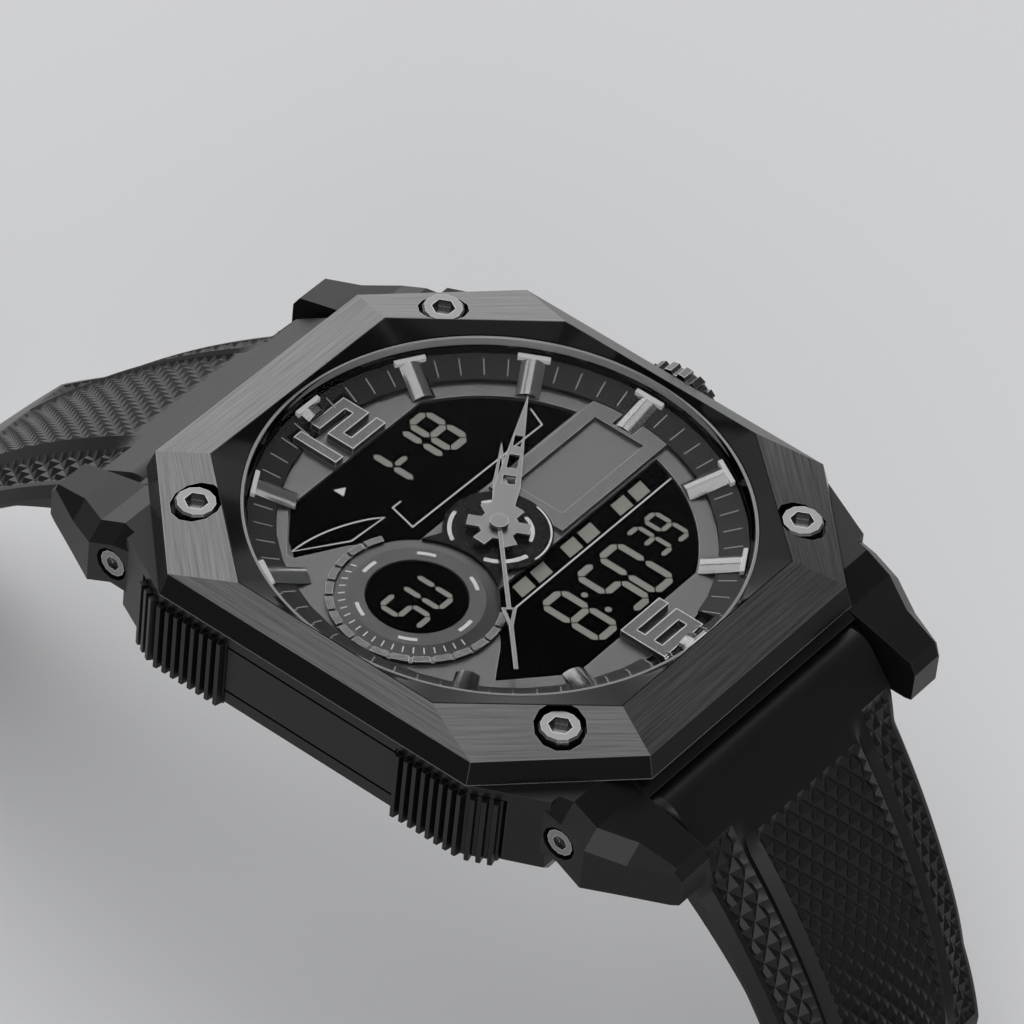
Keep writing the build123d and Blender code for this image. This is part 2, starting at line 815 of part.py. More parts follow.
# Raised numerals at 12 and 6
stroke = numeral_stroke
tall = numeral_h
waist_high = (tall + stroke) / 2
waist_low = (tall - stroke) / 2
two_points = [
    (0, tall),
    (numeral_two_w, tall),
    (numeral_two_w, waist_low),
    (stroke, waist_low),
    (stroke, stroke),
    (numeral_two_w, stroke),
    (numeral_two_w, 0),
    (0, 0),
    (0, waist_high),
    (numeral_two_w - stroke, waist_high),
    (numeral_two_w - stroke, tall - stroke),
    (0, tall - stroke),
]
six_points = [
    (0, 0),
    (numeral_six_w, 0),
    (numeral_six_w, waist_high),
    (stroke, waist_high),
    (stroke, tall - stroke),
    (numeral_six_w, tall - stroke),
    (numeral_six_w, tall),
    (0, tall),
]
with BuildPart() as numerals:
    with BuildSketch(Plane.XY.offset(dial_top_z)):
        with Locations((numeral_one_x + stroke / 2, numeral_twelve_y + tall / 2)):
            Rectangle(stroke, tall)
        for at_x, at_y, shape in (
            (numeral_two_x, numeral_twelve_y, two_points),
            (numeral_six_x, numeral_six_y, six_points),
        ):
            with BuildLine():
                Polyline(*[(at_x + x, at_y + y) for x, y in shape], close=True)
            make_face()
        with Locations((numeral_six_x + numeral_six_w / 2, numeral_six_y + (stroke + waist_low) / 2)):
            Rectangle(numeral_six_w - 2 * stroke, waist_low - stroke, mode=Mode.SUBTRACT)
    extrude(amount=numeral_t)
numerals.part.label = "numerals"
export_step(numerals.part, "parts/numerals.step")

# Turret of the small dial: a flat ring with a slope round it
with BuildPart() as subdial_turret:
    with BuildSketch(Plane.XY.offset(dial_top_z)):
        with Locations((sub_x, 0)):
            RegularPolygon(sub_slope_r, wide_sides)
    extrude(amount=sub_slope_low_z - dial_top_z)
    for z, r in ((sub_slope_low_z, sub_slope_r), (sub_top_z, sub_flat_r)):
        with BuildSketch(Plane.XY.offset(z)):
            with Locations((sub_x, 0)):
                RegularPolygon(r, wide_sides)
    loft(ruled=True)
    with BuildSketch(Plane.XY.offset(dial_top_z)):
        with Locations((sub_x, 0)):
            RegularPolygon(sub_lcd_r, plate_sides, major_radius=False)
    extrude(amount=sub_top_z - dial_top_z, mode=Mode.SUBTRACT)
subdial_turret.part.label = "subdial_turret"
export_step(subdial_turret.part, "parts/subdial_turret.step")

# Notched rim round the outer side of the small dial
rim_mid_r = (sub_rim_in_r + sub_rim_out_r) / 2
rim_pitch = (sub_rim_end - sub_rim_start) / sub_rim_count
with BuildPart() as subdial_rim:
    with BuildSketch(Plane.XY.offset(dial_top_z)):
        with BuildLine():
            rim_spots = range(rim_steps * sub_rim_count + 1)
            rim_turns = [radians(sub_rim_start + rim_pitch * k / rim_steps) for k in rim_spots]
            rim_out = [(sub_x + sub_rim_out_r * cos(turn), sub_rim_out_r * sin(turn)) for turn in rim_turns]
            rim_in = [(sub_x + sub_rim_in_r * cos(turn), sub_rim_in_r * sin(turn)) for turn in rim_turns]
            Polyline(*rim_out, *reversed(rim_in), close=True)
        make_face()
    extrude(amount=sub_rim_t)
    with BuildSketch(Plane.XY.offset(dial_top_z + sub_rim_t)):
        for notch in range(1, sub_rim_count):
            turn = radians(sub_rim_start + rim_pitch * notch)
            spot = (sub_x + rim_mid_r * cos(turn), rim_mid_r * sin(turn), 0)
            with Locations(Location(spot, (0, 0, degrees(turn)))):
                Rectangle(2 * (sub_rim_out_r - sub_rim_in_r), sub_rim_gap_w)
    extrude(amount=-sub_rim_gap_d, mode=Mode.SUBTRACT)
subdial_rim.part.label = "subdial_rim"
export_step(subdial_rim.part, "parts/subdial_rim.step")

# Centre plate: a disc with a waist that reaches to the small dial
waist_x = -centre_plate_r * waist_share
waist_half_l = sqrt(centre_plate_r**2 - waist_x**2)
with BuildPart() as centre_plate:
    with BuildSketch(Plane.XY.offset(dial_top_z)):
        Circle(centre_plate_r)
        with BuildLine():
            Polyline(
                (waist_x, waist_half_l),
                (-waist_reach, waist_reach_half_l),
                (-waist_reach, -waist_reach_half_l),
                (waist_x, -waist_half_l),
                close=True,
            )
        make_face()
        with Locations((sub_x, 0)):
            Circle(sub_slope_r + marker_gap, mode=Mode.SUBTRACT)
        RegularPolygon(dial_hole_r, head_sides, major_radius=False, mode=Mode.SUBTRACT)
    extrude(amount=centre_plate_t)
centre_plate.part.label = "centre_plate"
export_step(centre_plate.part, "parts/centre_plate.step")

# Liquid crystal panels: a disc under the dial and a block under the small dial
lcd_r = holder_rim_in_r - lcd_gap
lcd_top_z = lcd_low_z + lcd_t
with BuildPart() as lcd_panels:
    with BuildSketch(Plane.XY.offset(lcd_low_z)):
        RegularPolygon(lcd_r, plate_sides)
        with Locations(((motion_room_right_x - motion_room_left_x) / 2, 0)):
            Rectangle(motion_room_right_x + motion_room_left_x, 2 * motion_room_half_l, mode=Mode.SUBTRACT)
    extrude(amount=lcd_t)
    with BuildSketch(Plane.XY.offset(lcd_top_z)):
        with Locations((sub_x, 0)):
            RegularPolygon(sub_lcd_r - lcd_gap, plate_sides)
    extrude(amount=sub_top_z - sub_lcd_drop - lcd_top_z)
lcd_panels.part.label = "lcd_panels"
export_step(lcd_panels.part, "parts/lcd_panels.step")

# Case middle: lugs first, then the eight-sided body, its cavity and its pockets
lug_taper = (lug_out_x - lug_tip_out_x) / (lug_nose_y - lug_taper_y)
lug_knee_out_x = lug_out_x - lug_taper * (lug_knee_y - lug_taper_y)
lug_sections = (
    (lug_root_y, bezel_seat_z, lug_bottom_z, lug_out_x, lug_edge),
    (lug_screw_y, bezel_seat_z, lug_bottom_z, lug_out_x, lug_chamfer),
    (lug_top_y, lug_top_z, lug_tip_z, lug_out_x, lug_chamfer),
    (lug_knee_y, lug_knee_z, lug_tip_z, lug_knee_out_x, lug_chamfer),
    (lug_end_y, lug_end_z, lug_tip_z, lug_tip_out_x + lug_edge, lug_edge),
    (lug_nose_y, lug_nose_z, lug_tip_z + lug_edge / 2, lug_tip_out_x, lug_edge / 2),
)
with BuildPart() as case_middle:
    for y, top, low, out_x, cut in lug_sections:
        with BuildSketch(Plane.XZ.offset(-y)):
            with BuildLine():
                Polyline(
                    (lug_in_x, low),
                    (out_x, low),
                    (out_x, top - cut),
                    (out_x - cut, top),
                    (lug_in_x, top),
                    close=True,
                )
            make_face()
    loft(ruled=True)
    mirror(about=Plane.XZ)
    mirror(about=Plane.YZ)
    with BuildSketch(Plane.XY.offset(side_bottom_z)):
        with BuildLine():
            Polyline(*octagon(case_half_w, case_half_l, case_flat_x, case_flat_y), close=True)
        make_face()
    extrude(amount=bezel_seat_z - side_bottom_z)
    for z, shrink in ((case_bottom_z, 1), (side_bottom_z, 0)):
        with BuildSketch(Plane.XY.offset(z)):
            with BuildLine():
                Polyline(
                    *octagon(
                        case_half_w - case_skirt_w * shrink,
                        case_half_l - case_skirt_l * shrink,
                        case_flat_x - case_skirt_w * shrink,
                        case_flat_y - case_skirt_l * shrink,
                    ),
                    close=True,
                )
            make_face()
    loft(ruled=True)
    with BuildSketch(Plane.XY.offset(case_bottom_z)):
        RegularPolygon(cavity_r, plate_sides, major_radius=False)
    extrude(amount=bezel_seat_z - case_bottom_z, mode=Mode.SUBTRACT)
    with BuildSketch(Plane.XY.offset(case_bottom_z)):
        RegularPolygon(back_seal_r + back_seal_w / 2 + marker_gap, plate_sides)
        RegularPolygon(back_seal_r - back_seal_w / 2 - marker_gap, plate_sides, mode=Mode.SUBTRACT)
    extrude(amount=back_seal_h, mode=Mode.SUBTRACT)
    with BuildSketch(Plane.XY.offset(pocket_low_z)):
        for sx in (-1, 1):
            for sy in (-1, 1):
                pocket_x = sx * (pocket_floor_x + case_half_w + overrun) / 2
                with Locations((pocket_x, sy * (pocket_near_y + pocket_far_y) / 2)):
                    Rectangle(case_half_w + overrun - pocket_floor_x, pocket_far_y - pocket_near_y)
    extrude(amount=pocket_high_z - pocket_low_z, mode=Mode.SUBTRACT)
    for z in (side_panel_low_z, side_panel_high_z):
        with BuildSketch(Plane.XY.offset(z)):
            for sx in (-1, 1):
                with Locations((sx * case_half_w, 0)):
                    Rectangle(2 * side_panel_t, 2 * pocket_near_y)
        extrude(amount=side_groove, mode=Mode.SUBTRACT)
    for sx in (-1, 1):
        for sy in (-1, 1):
            stem_spot = (sy * pusher_stem_y, pusher_stem_z)
            with BuildSketch(Plane.YZ):
                with Locations(stem_spot):
                    RegularPolygon(pusher_stem_r + pusher_stem_gap, shank_sides, major_radius=False)
            extrude(amount=sx * pocket_floor_x, mode=Mode.SUBTRACT)
            with BuildSketch(Plane.YZ.offset(sx * (pocket_floor_x - spring_well_l))):
                with Locations(stem_spot):
                    RegularPolygon(spring_well_r, shank_sides, major_radius=False)
            extrude(amount=sx * spring_well_l, mode=Mode.SUBTRACT)
            with BuildSketch(Plane.YZ.offset(sx * seal_x)):
                with Locations(stem_spot):
                    RegularPolygon(seal_groove_r, shank_sides, major_radius=False)
            extrude(amount=sx * seal_groove_l, mode=Mode.SUBTRACT)
            with BuildSketch(Plane.YZ):
                with Locations(stem_spot):
                    Rectangle(2 * pusher_relief_half_w, 2 * pusher_relief_half_w)
            extrude(amount=sx * pusher_relief_x, mode=Mode.SUBTRACT)
    with BuildSketch(Plane.YZ):
        with Locations((0, crown_z)):
            RegularPolygon(crown_tube_r + crown_tube_gap, head_sides, major_radius=False)
    extrude(amount=case_half_w + overrun, mode=Mode.SUBTRACT)
    with BuildSketch(Plane.XY.offset(bezel_seat_z)):
        with Locations(*screw_spots):
            RegularPolygon(bezel_shank_r + screw_gap, shank_sides, major_radius=False)
    extrude(amount=-bezel_thread_depth - bearing_depth, mode=Mode.SUBTRACT)
    with BuildSketch(Plane.XY.offset(case_bottom_z)):
        with PolarLocations(back_screw_ring_r, back_screw_count, start_angle=back_screw_angle):
            RegularPolygon(back_screw_r + screw_gap, shank_sides, major_radius=False)
    extrude(amount=back_screw_l, mode=Mode.SUBTRACT)
    for sx in (-1, 1):
        for sy in (-1, 1):
            with BuildSketch(Plane.YZ.offset(sx * lug_in_x)):
                with Locations((sy * lug_screw_y, lug_screw_z)):
                    RegularPolygon(lug_screw_r + screw_gap, shank_sides, major_radius=False)
            extrude(amount=sx * (lug_out_x - lug_in_x), mode=Mode.SUBTRACT)
            with BuildSketch(Plane.YZ.offset(sx * lug_out_x)):
                with Locations((sy * lug_screw_y, lug_screw_z)):
                    RegularPolygon(lug_screw_head_r + head_gap, head_sides, major_radius=False)
            extrude(amount=-sx * (lug_screw_head_h + lug_screw_sink), mode=Mode.SUBTRACT)
            with BuildSketch(Plane.YZ.offset(sx * lug_in_x)):
                with Locations((sy * strap_pin_y, strap_pin_z)):
                    RegularPolygon(strap_pin_r + strap_pin_gap, shank_sides, major_radius=False)
            extrude(amount=sx * (strap_pin_sink + screw_gap), mode=Mode.SUBTRACT)
case_middle.part.label = "case_middle"
export_step(case_middle.part, "parts/case_middle.step")

# End links: fill the gap between the lugs and carry a round seat for each strap half
end_link_half_w = lug_in_x - end_link_gap
seat_r = strap_knuckle_r + strap_knuckle_gap


def end_link_body():
    """End link at 12 o'clock."""
    with BuildPart() as body:
        with BuildSketch(Plane.YZ.offset(-end_link_half_w)):
            with BuildLine():
                Polyline(
                    (end_link_back_y, bezel_seat_z - end_link_gap),
                    (lug_screw_y, bezel_seat_z - end_link_gap),
                    (lug_top_y, lug_top_z),
                    (end_link_front_y, lug_knee_z),
                    (end_link_front_y, strap_pin_z),
                    (strap_pin_y, end_link_low_z),
                    (end_link_back_y, end_link_low_z),
                    close=True,
                )
            make_face()
            with Locations((strap_pin_y, strap_pin_z)):
                RegularPolygon(seat_r, head_sides, major_radius=False, mode=Mode.SUBTRACT)
        extrude(amount=2 * end_link_half_w)
        for side in (-1, 1):
            with BuildSketch(Plane.YZ.offset(side * end_link_half_w)):
                with Locations((lug_screw_y, lug_screw_z)):
                    RegularPolygon(lug_screw_r + screw_gap, shank_sides, major_radius=False)
            extrude(amount=side * (lug_screw_in_x - screw_gap - end_link_half_w), mode=Mode.SUBTRACT)
    return body.part


end_link_12 = end_link_body()
end_link_12.label = "end_link_12"
export_step(end_link_12, "parts/end_link_12.step")
end_link_6 = end_link_12.mirror(Plane.XZ)
end_link_6.label = "end_link_6"
export_step(end_link_6, "parts/end_link_6.step")

# Cross screws that hold the end links between the lugs
lug_head_out_x = lug_out_x - lug_screw_sink
lug_head_in_x = lug_head_out_x - lug_screw_head_h
with BuildPart() as lug_screws:
    for sx in (-1, 1):
        for sy in (-1, 1):
            with BuildSketch(Plane.YZ.offset(sx * lug_screw_in_x)):
                with Locations((sy * lug_screw_y, lug_screw_z)):
                    RegularPolygon(lug_screw_r, shank_sides)
            extrude(amount=sx * (lug_head_in_x - lug_screw_in_x))
            with BuildSketch(Plane.YZ.offset(sx * lug_head_in_x)):
                with Locations((sy * lug_screw_y, lug_screw_z)):
                    RegularPolygon(lug_screw_head_r, head_sides)
            extrude(amount=sx * lug_screw_head_h)
            with BuildSketch(Plane.YZ.offset(sx * lug_head_out_x)):
                with Locations((sy * lug_screw_y, lug_screw_z)):
                    RegularPolygon(lug_screw_head_r * hex_share, hex_sides)
            extrude(amount=-sx * lug_screw_head_h * hex_depth_share, mode=Mode.SUBTRACT)
lug_screws.part.label = "lug_screws"
export_step(lug_screws.part, "parts/lug_screws.step")

# Case back, its gasket and its four screws
with BuildPart() as case_back:
    with BuildSketch(Plane.XY):
        RegularPolygon(back_plate_r, wide_sides)
    extrude(amount=case_bottom_z)
    chamfer(case_back.edges().group_by(Axis.Z)[0], back_plate_bevel)
    with BuildSketch(Plane.XY.offset(case_bottom_z)):
        RegularPolygon(back_spigot_r, plate_sides)
    extrude(amount=back_spigot_h)
    with BuildSketch(Plane.XY):
        with PolarLocations(back_screw_ring_r, back_screw_count, start_angle=back_screw_angle):
            RegularPolygon(back_screw_head_r + screw_gap, shank_sides, major_radius=False)
    extrude(amount=back_screw_head_h, mode=Mode.SUBTRACT)
    with BuildSketch(Plane.XY):
        with PolarLocations(back_screw_ring_r, back_screw_count, start_angle=back_screw_angle):
            RegularPolygon(back_screw_r + screw_gap, shank_sides, major_radius=False)
    extrude(amount=case_bottom_z, mode=Mode.SUBTRACT)
case_back.part.label = "case_back"
export_step(case_back.part, "parts/case_back.step")

with BuildPart() as case_back_gasket:
    with BuildSketch(Plane.XY.offset(case_bottom_z)):
        RegularPolygon(back_seal_r + back_seal_w / 2, plate_sides)
        RegularPolygon(back_seal_r - back_seal_w / 2, plate_sides, mode=Mode.SUBTRACT)
    extrude(amount=back_seal_h)
case_back_gasket.part.label = "case_back_gasket"
export_step(case_back_gasket.part, "parts/case_back_gasket.step")

with BuildPart() as case_back_screws:
    with BuildSketch(Plane.XY.offset(bearing_end_gap)):
        with PolarLocations(back_screw_ring_r, back_screw_count, start_angle=back_screw_angle):
            RegularPolygon(back_screw_head_r, shank_sides)
    extrude(amount=back_screw_head_h - bearing_end_gap)
    with BuildSketch(Plane.XY.offset(back_screw_head_h)):
        with PolarLocations(back_screw_ring_r, back_screw_count, start_angle=back_screw_angle):
            RegularPolygon(back_screw_r, shank_sides)
    extrude(amount=case_bottom_z + back_screw_l - back_screw_head_h - bearing_end_gap)
    with BuildSketch(Plane.XY.offset(bearing_end_gap)):
        with PolarLocations(back_screw_ring_r, back_screw_count, start_angle=back_screw_angle):
            Rectangle(2 * back_screw_head_r, back_screw_r / 2)
            Rectangle(back_screw_r / 2, 2 * back_screw_head_r)
    extrude(amount=back_screw_head_h / 2, mode=Mode.SUBTRACT)
case_back_screws.part.label = "case_back_screws"
export_step(case_back_screws.part, "parts/case_back_screws.step")

# Movement holder: skirt, floor with bearings, ring with a ledge, and a rim for the panels
back_top_z = case_bottom_z + back_spigot_h
floor_top_z = holder_floor_z + holder_floor_t
board_top_z = floor_top_z + board_t
bridge_top_z = bridge_low_z + bridge_t
second_pinion_r = (second_pinion_teeth + third_wheel_teeth) * third_module / 2
third_turn = radians(third_axis_angle)
third_spot = (second_pinion_r * cos(third_turn), second_pinion_r * sin(third_turn))
centre_module = 2 * second_pinion_r / (third_pinion_teeth + centre_wheel_teeth)
step_reach = (step_pinion_teeth + second_wheel_teeth) * step_module / 2
step_spot = (step_reach * cos(radians(step_axis_angle)), step_reach * sin(radians(step_axis_angle)))
rotor_reach = (rotor_teeth + step_wheel_teeth) * step_module / 2
rotor_spot = (
    step_spot[0] + rotor_reach * cos(radians(rotor_axis_angle)),
    step_spot[1] + rotor_reach * sin(radians(rotor_axis_angle)),
)
motion_reach = (cannon_teeth + minute_wheel_teeth) * cannon_module / 2
hour_module = 2 * motion_reach / (minute_pinion_teeth + hour_wheel_teeth)
coil_y = rotor_spot[1] - coil_y_offset
coil_posts = [(rotor_spot[0] + side * (stator_half_w - stator_arm_w / 2), coil_y) for side in (-1, 1)]
floor_bearings = [(0, 0), third_spot, step_spot, rotor_spot]
bridge_bearings = [third_spot, step_spot, rotor_spot]
with BuildPart() as movement_holder:
    with BuildSketch(Plane.XY.offset(back_top_z)):
        RegularPolygon(holder_r, plate_sides)
        RegularPolygon(holder_skirt_in_r, plate_sides, mode=Mode.SUBTRACT)
    extrude(amount=holder_floor_z - back_top_z)
    with BuildSketch(Plane.XY.offset(holder_floor_z)):
        RegularPolygon(holder_r, plate_sides)
    extrude(amount=dial_low_z - holder_floor_z)
    with BuildSketch(Plane.XY.offset(floor_top_z)):
        RegularPolygon(holder_in_r, plate_sides, major_radius=False)
    extrude(amount=dial_low_z - floor_top_z, mode=Mode.SUBTRACT)
    with BuildSketch(Plane.XY.offset(bridge_low_z)):
        RegularPolygon(bridge_r + arbor_gap, plate_sides)
    extrude(amount=dial_low_z - bridge_low_z, mode=Mode.SUBTRACT)
    with BuildSketch(Plane.XY.offset(lcd_low_z)):
        RegularPolygon(holder_rim_in_r, plate_sides)
    extrude(amount=dial_low_z - lcd_low_z, mode=Mode.SUBTRACT)
    with BuildSketch(Plane.XY.offset(floor_top_z - bearing_depth)):
        with Locations(*floor_bearings):
            RegularPolygon(arbor_r + arbor_gap, shank_sides, major_radius=False)
    extrude(amount=bearing_depth, mode=Mode.SUBTRACT)
    with BuildSketch(Plane.XY.offset(floor_top_z)):
        with Locations(*coil_posts):
            RegularPolygon(coil_post_r, shank_sides)
    extrude(amount=stator_z - floor_top_z)
    for sx in (-1, 1):
        for sy in (-1, 1):
            with BuildSketch(Plane.YZ.offset(sx * holder_relief_x)):
                with Locations((sy * pusher_stem_y, pusher_stem_z)):
                    Rectangle(2 * pusher_relief_half_w, 2 * pusher_relief_half_w)
            extrude(amount=sx * holder_r, mode=Mode.SUBTRACT)
    with BuildSketch(Plane.YZ.offset(stem_clip_x - pusher_gap)):
        with Locations((0, crown_z)):
            RegularPolygon(crown_stem_r + crown_room, shank_sides, major_radius=False)
    extrude(amount=holder_r, mode=Mode.SUBTRACT)
movement_holder.part.label = "movement_holder"
export_step(movement_holder.part, "parts/movement_holder.step")

# Train bridge: the plate over the wheels, with slots for the display connectors
connector_slots = (
    (0, zebra_y, zebra_half_l, zebra_half_w),
    (0, -zebra_y, zebra_half_l, zebra_half_w),
    (zebra_sub_x, 0, zebra_half_w, zebra_sub_half_l),
)
with BuildPart() as train_bridge:
    with BuildSketch(Plane.XY.offset(bridge_low_z)):
        RegularPolygon(bridge_r, plate_sides)
        RegularPolygon(cannon_in_r + arbor_gap, shank_sides, major_radius=False, mode=Mode.SUBTRACT)
        for x, y, half_w, half_l in connector_slots:
            with Locations((x, y)):
                Rectangle(2 * (half_w + slot_gap), 2 * (half_l + slot_gap), mode=Mode.SUBTRACT)
        with Locations((bridge_r, 0)):
            Rectangle(
                2 * (bridge_r - stem_clip_x + slot_gap * 2),
                2 * bridge_notch_half_w,
                mode=Mode.SUBTRACT,
            )
    extrude(amount=bridge_t)
    with BuildSketch(Plane.XY.offset(bridge_low_z)):
        with Locations(*bridge_bearings):
            RegularPolygon(arbor_r + arbor_gap, shank_sides, major_radius=False)
    extrude(amount=bearing_depth, mode=Mode.SUBTRACT)
    with BuildSketch(Plane.XY.offset(bridge_top_z)):
        with Locations((motion_reach, 0)):
            RegularPolygon(arbor_r + arbor_gap, shank_sides, major_radius=False)
    extrude(amount=-bearing_depth, mode=Mode.SUBTRACT)
train_bridge.part.label = "train_bridge"
export_step(train_bridge.part, "parts/train_bridge.step")

# Circuit board with holes for the arbors and the posts
with BuildPart() as circuit_board:
    with BuildSketch(Plane.XY.offset(floor_top_z)):
        RegularPolygon(board_r, plate_sides)
        with Locations(*floor_bearings, *coil_posts):
            RegularPolygon(board_hole_r, shank_sides, mode=Mode.SUBTRACT)
    extrude(amount=board_t)
circuit_board.part.label = "circuit_board"
export_step(circuit_board.part, "parts/circuit_board.step")

# Display connectors: rubber strips from the board to the panels
with BuildPart() as lcd_connectors:
    with BuildSketch(Plane.XY.offset(board_top_z)):
        for x, y, half_w, half_l in connector_slots:
            with Locations((x, y)):
                Rectangle(2 * half_w, 2 * half_l)
    extrude(amount=lcd_low_z - board_top_z)
lcd_connectors.part.label = "lcd_connectors"
export_step(lcd_connectors.part, "parts/lcd_connectors.step")

# Battery, its clip and the buzzer disc
battery_low_z = holder_floor_z - battery_t
with BuildPart() as battery:
    with BuildSketch(Plane.XY.offset(battery_low_z)):
        with Locations((battery_x, 0)):
            RegularPolygon(battery_r, plate_sides)
    extrude(amount=battery_t)
battery.part.label = "battery"
export_step(battery.part, "parts/battery.step")

with BuildPart() as battery_clip:
    with BuildSketch(Plane.XY.offset(battery_low_z - clip_t)):
        RegularPolygon(holder_skirt_in_r, plate_sides)
        Rectangle(2 * holder_skirt_in_r, 2 * clip_half_w, mode=Mode.INTERSECT)
    extrude(amount=clip_t)
battery_clip.part.label = "battery_clip"
export_step(battery_clip.part, "parts/battery_clip.step")

with BuildPart() as buzzer:
    with BuildSketch(Plane.XY.offset(back_top_z)):
        RegularPolygon(buzzer_r, plate_sides)
    extrude(amount=buzzer_t)
buzzer.part.label = "buzzer"
export_step(buzzer.part, "parts/buzzer.step")

# Stator plate round the rotor, and the coil on its core
with BuildPart() as motor_stator:
    with BuildSketch(Plane.XY.offset(stator_z)):
        with Locations(rotor_spot):
            RegularPolygon(stator_r, head_sides)
        with Locations((rotor_spot[0], rotor_spot[1] - (stator_bar_near + stator_bar_far) / 2)):
            Rectangle(2 * stator_half_w, stator_bar_far - stator_bar_near)
        for x, y in coil_posts:
            with Locations((x, rotor_spot[1] - (stator_bar_near + coil_y_offset + coil_core_half_w) / 2)):
                Rectangle(stator_arm_w, coil_y_offset + coil_core_half_w - stator_bar_near)
        with Locations(rotor_spot):
            RegularPolygon(stator_hole_r, head_sides, major_radius=False, mode=Mode.SUBTRACT)
    extrude(amount=stator_t)
motor_stator.part.label = "motor_stator"
export_step(motor_stator.part, "parts/motor_stator.step")

coil_z = stator_z + stator_t + coil_core_t / 2
with BuildPart() as motor_coil:
    with BuildSketch(Plane.XY.offset(coil_z - coil_core_t / 2)):
        with Locations((rotor_spot[0], coil_y)):
            Rectangle(2 * stator_half_w, 2 * coil_core_half_w)
    extrude(amount=coil_core_t)
    with BuildSketch(Plane.YZ.offset(rotor_spot[0] - coil_half_l)):
        with Locations((coil_y, coil_z)):
            RegularPolygon(coil_r, head_sides)
    extrude(amount=2 * coil_half_l)
motor_coil.part.label = "motor_coil"
export_step(motor_coil.part, "parts/motor_coil.step")

# Rotor: a magnet with a pinion on its arbor
arbor_low_z = floor_top_z - bearing_depth + bearing_end_gap
arbor_high_z = bridge_low_z + bearing_depth - bearing_end_gap
pinion_drop = (pinion_t - wheel_t) / 2
rotor_phase = rotor_axis_angle + 180
step_phase = step_axis_angle + 180
third_phase = third_axis_angle + 180
with BuildPart() as rotor:
    with BuildSketch(Plane.XY.offset(arbor_low_z)):
        with Locations(rotor_spot):
            RegularPolygon(arbor_r, shank_sides)
    extrude(amount=arbor_high_z - arbor_low_z)
    with BuildSketch(Plane.XY.offset(rotor_magnet_low_z)):
        with Locations(rotor_spot):
            RegularPolygon(rotor_magnet_r, head_sides)
    extrude(amount=rotor_magnet_t)
    with BuildSketch(Plane.XY.offset(step_wheel_z - pinion_drop)):
        with BuildLine():
            Polyline(*gear_points(rotor_teeth, step_module, rotor_phase, rotor_spot), close=True)
        make_face()
    extrude(amount=pinion_t)
rotor.part.label = "rotor"
export_step(rotor.part, "parts/rotor.step")

with BuildPart() as step_wheel:
    with BuildSketch(Plane.XY.offset(arbor_low_z)):
        with Locations(step_spot):
            RegularPolygon(arbor_r, shank_sides)
    extrude(amount=arbor_high_z - arbor_low_z)
    with BuildSketch(Plane.XY.offset(second_wheel_z - pinion_drop)):
        with BuildLine():
            Polyline(*gear_points(step_pinion_teeth, step_module, step_phase, step_spot), close=True)
        make_face()
    extrude(amount=pinion_t)
    with BuildSketch(Plane.XY.offset(step_wheel_z)):
        with BuildLine():
            gap_phase = rotor_axis_angle + 180 / step_wheel_teeth
            Polyline(*gear_points(step_wheel_teeth, step_module, gap_phase, step_spot), close=True)
        make_face()
    extrude(amount=wheel_t)
step_wheel.part.label = "step_wheel"
export_step(step_wheel.part, "parts/step_wheel.step")

# Second wheel: its arbor runs up the middle to the second hand
with BuildPart() as second_wheel:
    with BuildSketch(Plane.XY.offset(arbor_low_z)):
        RegularPolygon(arbor_r, shank_sides)
    extrude(amount=second_hand_z - arbor_low_z)
    with BuildSketch(Plane.XY.offset(second_wheel_z)):
        with BuildLine():
            gap_phase = step_axis_angle + 180 / second_wheel_teeth
            Polyline(*gear_points(second_wheel_teeth, step_module, gap_phase), close=True)
        make_face()
    extrude(amount=wheel_t)
    with BuildSketch(Plane.XY.offset(third_wheel_z - pinion_drop)):
        with BuildLine():
            Polyline(*gear_points(second_pinion_teeth, third_module, third_axis_angle), close=True)
        make_face()
    extrude(amount=centre_wheel_z - third_wheel_z)
second_wheel.part.label = "second_wheel"
export_step(second_wheel.part, "parts/second_wheel.step")

with BuildPart() as third_wheel:
    with BuildSketch(Plane.XY.offset(arbor_low_z)):
        with Locations(third_spot):
            RegularPolygon(arbor_r, shank_sides)
    extrude(amount=arbor_high_z - arbor_low_z)
    with BuildSketch(Plane.XY.offset(third_wheel_z)):
        with BuildLine():
            gap_phase = third_phase + 180 / third_wheel_teeth
            Polyline(*gear_points(third_wheel_teeth, third_module, gap_phase, third_spot), close=True)
        make_face()
    extrude(amount=wheel_t)
    with BuildSketch(Plane.XY.offset(centre_wheel_z - pinion_drop)):
        with BuildLine():
            Polyline(*gear_points(third_pinion_teeth, centre_module, third_phase, third_spot), close=True)
        make_face()
    extrude(amount=pinion_t)
third_wheel.part.label = "third_wheel"
export_step(third_wheel.part, "parts/third_wheel.step")

# Centre wheel: a wheel on a tube round the second wheel's arbor
with BuildPart() as centre_wheel:
    with BuildSketch(Plane.XY.offset(centre_wheel_z)):
        RegularPolygon(centre_tube_r, shank_sides)
    extrude(amount=centre_tube_top_z - centre_wheel_z)
    with BuildSketch(Plane.XY.offset(centre_wheel_z)):
        with BuildLine():
            gap_phase = third_axis_angle + 180 / centre_wheel_teeth
            Polyline(*gear_points(centre_wheel_teeth, centre_module, gap_phase), close=True)
        make_face()
    extrude(amount=wheel_t)
    with BuildSketch(Plane.XY.offset(centre_wheel_z)):
        RegularPolygon(centre_tube_in_r, shank_sides, major_radius=False)
    extrude(amount=centre_tube_top_z - centre_wheel_z, mode=Mode.SUBTRACT)
centre_wheel.part.label = "centre_wheel"
export_step(centre_wheel.part, "parts/centre_wheel.step")

